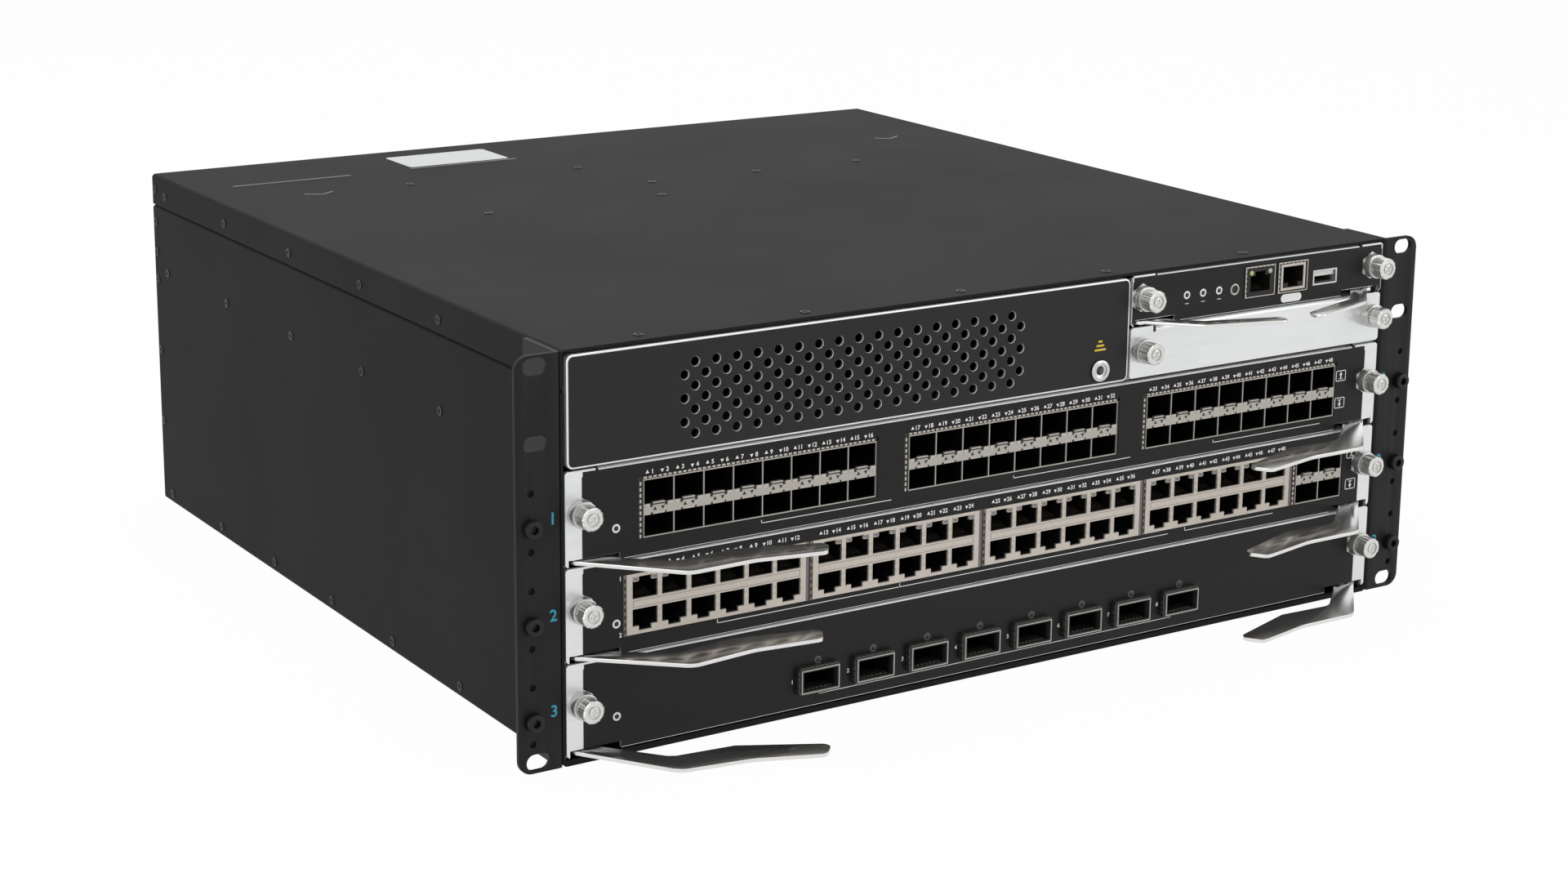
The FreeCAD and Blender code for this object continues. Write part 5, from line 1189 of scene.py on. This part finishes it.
# Painted shade: inside each mouth the cage darkens and loses its metal over 3 mm.
wide_metal = finish("dark_cast_cage", (76, 75, 73), 0.42, metal=0.7, grain=700.0, spread=0.15, relief=0.02,
                    inside=(wide_low.y + 0.6, 3.0, (16, 15, 15)))
finger_metal = finish("spring_band_metal", (84, 82, 79), 0.36, metal=0.75, grain=700.0, spread=0.15,
                      relief=0.015)
rim_metal = finish("cage_rim_metal", (172, 170, 166), 0.32, metal=0.75, grain=700.0, spread=0.1, relief=0.01)
dress(wide_metal, "card_3_cages")
wide_steps = [i * WIDE_PITCH for i in range(1, WIDE_COUNT)]
over_wide, over_step, side_tall, side_step = BAND_FINGERS
band_depth = (wide_low.y + 0.9, film_y)
band = [slab(wide_x + 0.15 + i * over_step, z, over_wide, BAND_THICKNESS, band_depth)
        for i in range(8) for z in (wide_z + WIDE_HEIGHT + 0.55, wide_z - 0.95)]
band += [slab(x, wide_z + 0.25 + i * side_step, BAND_THICKNESS, side_tall, band_depth)
         for i in range(4) for x in (wide_x - 0.95, wide_x + WIDE_WIDTH + 0.55)]
bands = row_of([eased(joined(band), 0.14, 1)], wide_steps)
finished(bands, "card_3_spring_bands", finger_metal, "card_3", "cage_metal")


def wide_block(inset, depth):
    """Block over the whole mouth of the first wide cage, less an inset."""
    return bar((wide_x + inset, wide_x + WIDE_WIDTH - inset), depth,
               (wide_z + inset, wide_z + WIDE_HEIGHT - inset))


rim = wide_block(-0.05, (wide_low.y - 0.08, wide_low.y + 0.9))
rim = cut(rim, wide_block(WIDE_RIM, (wide_low.y - 2, wide_low.y + 2)))
finished(row_of([eased(rim, 0.1)], wide_steps), "card_3_cage_rims", rim_metal, "card_3", "cage_metal")
ribs = [slab(wide_x + 2.0 + i * 2.2, wide_z + 0.7, 1.5, 0.55, (wide_low.y + 2.5, wide_low.y + 9))
        for i in range(7)]
ribs.append(slab(wide_x + 2.2, wide_z + 3.6, WIDE_WIDTH - 4.4, 3.4, (wide_low.y + 16, wide_low.y + 24)))
linings = row_of([eased(joined(ribs), 0.12, 1)], wide_steps)
finished(linings, "card_3_cage_linings", finger_metal, "card_3", "cage_metal")

# ---- Card 3: printing -----------------------------------------------------------------------
# White numbers are printed beside the cages, with one bracket under all of them. The ends of
# smoked light pipes show in the film, with grey rings round those over the cages.

WIDE_NUMBER = (-2.6, 12.4, 1.9)
WIDE_LENS = (10.4, 20.2)
WIDE_LENS_RADIUS = 1.0
WIDE_RING_RADIUS = 1.35
WIDE_BRACKET_RISE = 4.8
WIDE_LAMP_RISE = 13.9

ring_grey = finish("dark_grey_ring", (78, 78, 77), 0.4, grain=900.0, spread=0.08, relief=0.0)
prints, pipes, rings = [], [], []
for i in range(WIDE_COUNT):
    x = wide_x + i * WIDE_PITCH
    across, rise, height = WIDE_NUMBER
    prints.append(printed(str(i + 1), x + across, base_3 + rise, height, film_y))
    pipes.append(light_pipe(x + WIDE_LENS[0], base_3 + WIDE_LENS[1], WIDE_LENS_RADIUS, film_y))
    rings.append(lamp_ring(x + WIDE_LENS[0], base_3 + WIDE_LENS[1], WIDE_RING_RADIUS, film_y))
start = wide_x + 10.9
end = wide_x + (WIDE_COUNT - 1) * WIDE_PITCH + 6
rise = base_3 + WIDE_BRACKET_RISE
prints += bracket(start, end - start, rise, BRACKET_TICK)
prints.append(line((end - LINE, end), (rise, rise + BRACKET_TICK), film_y))
prints.append(lamp_ring(LAMP_X, base_3 + WIDE_LAMP_RISE, LAMP_RADIUS, film_y))
pipes.append(light_pipe(LAMP_X, base_3 + WIDE_LAMP_RISE, LENS_RADIUS, film_y))
finished(joined(prints), "card_3_printing", ink_white, "card_3", None, smooth=20)
finished(joined(pipes), "card_3_lenses", lens_dark, "card_3", "black_plastic")
finished(joined(rings), "card_3_lens_rings", ring_grey, "card_3", "black_plastic")

# ---- Control module -------------------------------------------------------------------------
# Two black-faced jacks edged in tinned steel, one with round lamps, a serial-bus port with a white
# tongue, three lamp rings and a recessed push button. A blank white lozenge is printed under the
# second jack.

MGMT_X = 133.8
CONSOLE_X = 153.9
JACK_WIDTH = 18.1
JACK_HEIGHT = 14.6
JACK_OUTLINE = 0.4
CONSOLE_FRAME = (1.5, 1.2)
CONTROL_LAMPS = (99.6, 109.1, 118.6)
CONTROL_LAMP_RISE = 11.2
LAMP_DASH = (-1.0, 7.1, 2.2)
LOZENGE = ((156.4, 169.0), (1.0, 4.9))
BUTTON_RING = 2.25
BUTTON_RADIUS = 1.65
JACK_LAMPS = ((3.6, "left", (196, 190, 120), "yellow_lamp"), (14.8, "right", (176, 184, 170), "pale_lamp"))
BUS_PADS = 4

control_low = corners("control_overlay")[0]
base_c, film_c = control_low.z - FILM_MARGIN, control_low.y
jack_low = corners("control_jacks")[0]
jack_y, jack_z = jack_low.y, jack_low.z
button_low, button_high = corners("function_button")
button_x, button_z = centre_of(button_low, button_high)
prints, pipes = [], []
for x in CONTROL_LAMPS:
    across, rise, wide = LAMP_DASH
    prints.append(lamp_ring(x, base_c + CONTROL_LAMP_RISE, LAMP_RADIUS, film_c))
    prints.append(line((x + across, x + across + wide), (base_c + rise, base_c + rise + LINE), film_c))
    pipes.append(light_pipe(x, base_c + CONTROL_LAMP_RISE, LENS_RADIUS, film_c))
low, high = LOZENGE[1]
prints.append(plate(LOZENGE[0], (film_c - INK, film_c + 0.02), (base_c + low, base_c + high), 1.9))
finished(joined(prints), "control_printing", ink_white, "control", None, smooth=20)
finished(joined(pipes), "control_lenses", lens_dark, "control", "black_plastic")
finished(lamp_ring(button_x, button_z, BUTTON_RING, film_c), "button_ring", rim_metal, "control", "nickel")
button = eased(rod(button_x, button_z, BUTTON_RADIUS, (button_low.y, button_high.y), 28), 0.35)
finished(button, "function_button_cap", black_plastic_and_shade, "function_button", "black_plastic", "function_button")


def outline_of(left, end, low, high, wide, depth):
    """Four thin bars inside a rectangle on a face."""
    between = (left + wide - 0.02, end - wide + 0.02)
    return [bar((left, left + wide), depth, (low, high)), bar((end - wide, end), depth, (low, high)),
            bar(between, depth, (low, low + wide)), bar(between, depth, (high - wide, high))]


jack_face = finish("black_jack_face", (22, 21, 20), 0.42, grain=1500.0, spread=0.15, relief=0.01, shine=0.3)
dress(jack_face, "control_jacks")
jack_pins, jack_trim, jack_fingers = [], [], []
trim_depth, finger_depth = (jack_y - 0.12, jack_y + 0.2), (jack_y - 0.3, jack_y + 0.2)
jack_top = jack_z + JACK_HEIGHT
port_low = jack_z + (JACK_HEIGHT - PORT_HEIGHT - PORT_KEY[1]) / 2
port_top = port_low + PORT_HEIGHT + PORT_KEY[1]
for x in (MGMT_X, CONSOLE_X):
    port_x = x + (JACK_WIDTH - PORT_WIDTH) / 2
    pin_z, way = (port_low + 0.5, 1) if x == MGMT_X else (port_top - 0.5, -1)
    jack_pins.append(contacts(port_x, pin_z, way, jack_y))
    jack_trim += outline_of(x + 0.02, x + JACK_WIDTH - 0.02, jack_z + 0.02, jack_top - 0.02, JACK_OUTLINE,
                            trim_depth)
    if x == CONSOLE_X:
        out, wide = CONSOLE_FRAME
        jack_trim += outline_of(port_x - out, port_x + PORT_WIDTH + out, port_low - out, port_top + out, wide,
                                trim_depth)
    jack_fingers += [slab(x + 0.5 + i * 2.45, jack_top - 0.7, 1.6, 0.65, finger_depth) for i in range(7)]
    jack_fingers += [slab(x + 0.05, jack_z + 0.4 + i * 2.3, 0.7, 1.5, finger_depth) for i in range(6)]
finished(joined(jack_pins), "control_contacts", gilt, "control", "tin_shield")
finished(eased(joined(jack_trim), 0.06, 1), "control_jack_outlines", tin_trim, "control", "tin_shield")
finished(eased(joined(jack_fingers), 0.1, 1), "control_jack_springs", tin_trim, "control", "tin_shield")
for across, side, colour, name in JACK_LAMPS:
    bulb = rod(MGMT_X + across, jack_top - 3.0, 1.15, (jack_y - 0.5, jack_y + 0.3), 20)
    lens = finish(name, colour, 0.2, grain=500.0, spread=0.06, relief=0.0)
    finished(eased(bulb, 0.35, 3), "control_lamp_" + side, lens, "control", "tin_shield")

usb_low, usb_high = corners("control_usb_port")
# Painted shade: the port's shell darkens and loses its metal deeper than its mouth.
usb_steel = finish("bus_port_steel", (206, 205, 203), 0.26, metal=0.75, grain=500.0, spread=0.05,
                   relief=0.008, inside=(usb_low.y + 0.5, 4.0, (70, 66, 60)))
dress(usb_steel, "control_usb_port")
tongue_white = finish("white_port_tongue", (222, 222, 220), 0.4, grain=800.0, spread=0.04, relief=0.01)
tongue = bar((usb_low.x + 1.5, usb_high.x - 1.5), (usb_low.y + 0.9, usb_high.y - 1),
             (usb_high.z - 3.1, usb_high.z - 1.0))
finished(eased(tongue, 0.15), "control_port_tongue", tongue_white, "control", "black_plastic")
pads = [slab(usb_low.x + 2.6 + i * 2.6, usb_high.z - 3.2, 1.2, 0.15, (usb_low.y + 1.6, usb_low.y + 9))
        for i in range(BUS_PADS)]
finished(eased(joined(pads), 0.03, 1), "control_port_contacts", gilt, "control", "tin_shield")

# ---- Rear modules ---------------------------------------------------------------------------
# Behind are a coated fan tray with three fans and two zinc-plated power supplies, each with a
# mains inlet, a vent, a strap handle and a spring latch.

FAN_CENTRES = (-130.0, 0.0, 130.0)
FAN_BLADES = 7
FAN_TIP = 42.0
FAN_HUB = 19.0
BLADE_HALF = 9.0
BLADE_CAMBER = 2.6
BLADE_SWEEP = 4.0
BLADE_PITCH = 42
INLET_PLACE = (23.0, 20.5)
INLET_HOUSING = (14.6, 12.1, 2.5)
INLET_MOUTH = (11.6, 8.2, 4.0)
PINS = ((-7.0, -1.5), (7.0, -1.5), (0.0, 1.8))
PIN = (0.675, 1.9)

fan_plastic = finish("black_fan_plastic", (32, 32, 33), 0.4, grain=1000.0, spread=0.12, relief=0.02)
supply_zinc = finish("zinc_supply_case", (158, 160, 160), 0.34, metal=0.85, grain=55.0, spread=0.2,
                     relief=0.008)
latch_red = finish("red_latch_plastic", (150, 42, 38), 0.42, grain=900.0, spread=0.08, relief=0.015)
dress(case_coat, "fan_tray")
dress(fan_plastic, "fan_frames")
dress(supply_zinc, "power_supply_1", "power_supply_2")


def fan_blade():
    """Cambered, swept blade of a fan, standing up from the axis."""
    blade = only(bar((-BLADE_HALF, BLADE_HALF), (-0.7, 0.7), (FAN_HUB - 2.5, FAN_TIP)))
    bpy.ops.object.mode_set(mode="EDIT")
    bpy.ops.mesh.select_all(action="SELECT")
    bpy.ops.mesh.subdivide(number_cuts=5)
    bpy.ops.object.mode_set(mode="OBJECT")
    for point in blade.data.vertices:
        across = point.co.x / (BLADE_HALF * MM)
        point.co.y += BLADE_CAMBER * MM * (1 - across * across)
        point.co.x += BLADE_SWEEP * MM * ((point.co.z / MM - FAN_HUB) / (FAN_TIP - FAN_HUB)) ** 2
    return blade


blade = fan_blade()
tilt = Matrix.Rotation(math.radians(BLADE_PITCH), 4, "Z")
for x, node in zip(FAN_CENTRES, ("rotor_1", "rotor_2", "rotor_3")):
    low, high = corners(node)
    z = centre_of(low, high)[1]
    hub = eased(rod(x, z, FAN_HUB, (low.y, high.y), 40), 1.5, 3)
    pieces = [cut(hub, rod(x, z, 2.1, (low.y - 1, high.y - 3), 16))]
    for i in range(FAN_BLADES):
        around = Matrix.Rotation(2 * math.pi * i / FAN_BLADES, 4, "Y")
        pieces.append(copied(blade, x, (low.y + high.y) / 2, z, around @ tilt))
    finished(joined(pieces), node + "_wheel", fan_plastic, node, "black_plastic", node)
bpy.data.objects.remove(blade)


def around_inlet(x, z, half_size, y):
    """Rounded plate about the middle of a mains inlet."""
    wide, tall, corner = half_size
    return plate((x - wide, x + wide), y, (z - tall, z + tall), corner)


for index in (1, 2):
    body, latch = "supply_%d" % index, "supply_latch_%d" % index
    finished(softened(latch, 0.3), latch + "_tab", latch_red, latch, "black_plastic", latch)
    low = corners("power_supply_%d" % index)[0]
    x, z = low.x + INLET_PLACE[0], low.z + INLET_PLACE[1]
    housing = around_inlet(x, z, INLET_HOUSING, (222.4, 224.9))
    housing = cut(housing, around_inlet(x, z, INLET_MOUTH, (220, 226)))
    finished(eased(housing, 0.3), body + "_inlet_frame", guide_nylon, body, "black_plastic")
    half, tall = PIN
    pins = [eased(bar((x + dx - half, x + dx + half), (208.5, 219.0), (z + dz - tall, z + dz + tall)), 0.25)
            for dx, dz in PINS]
    finished(joined(pins), body + "_inlet_pins", turned_steel, body, "nickel")
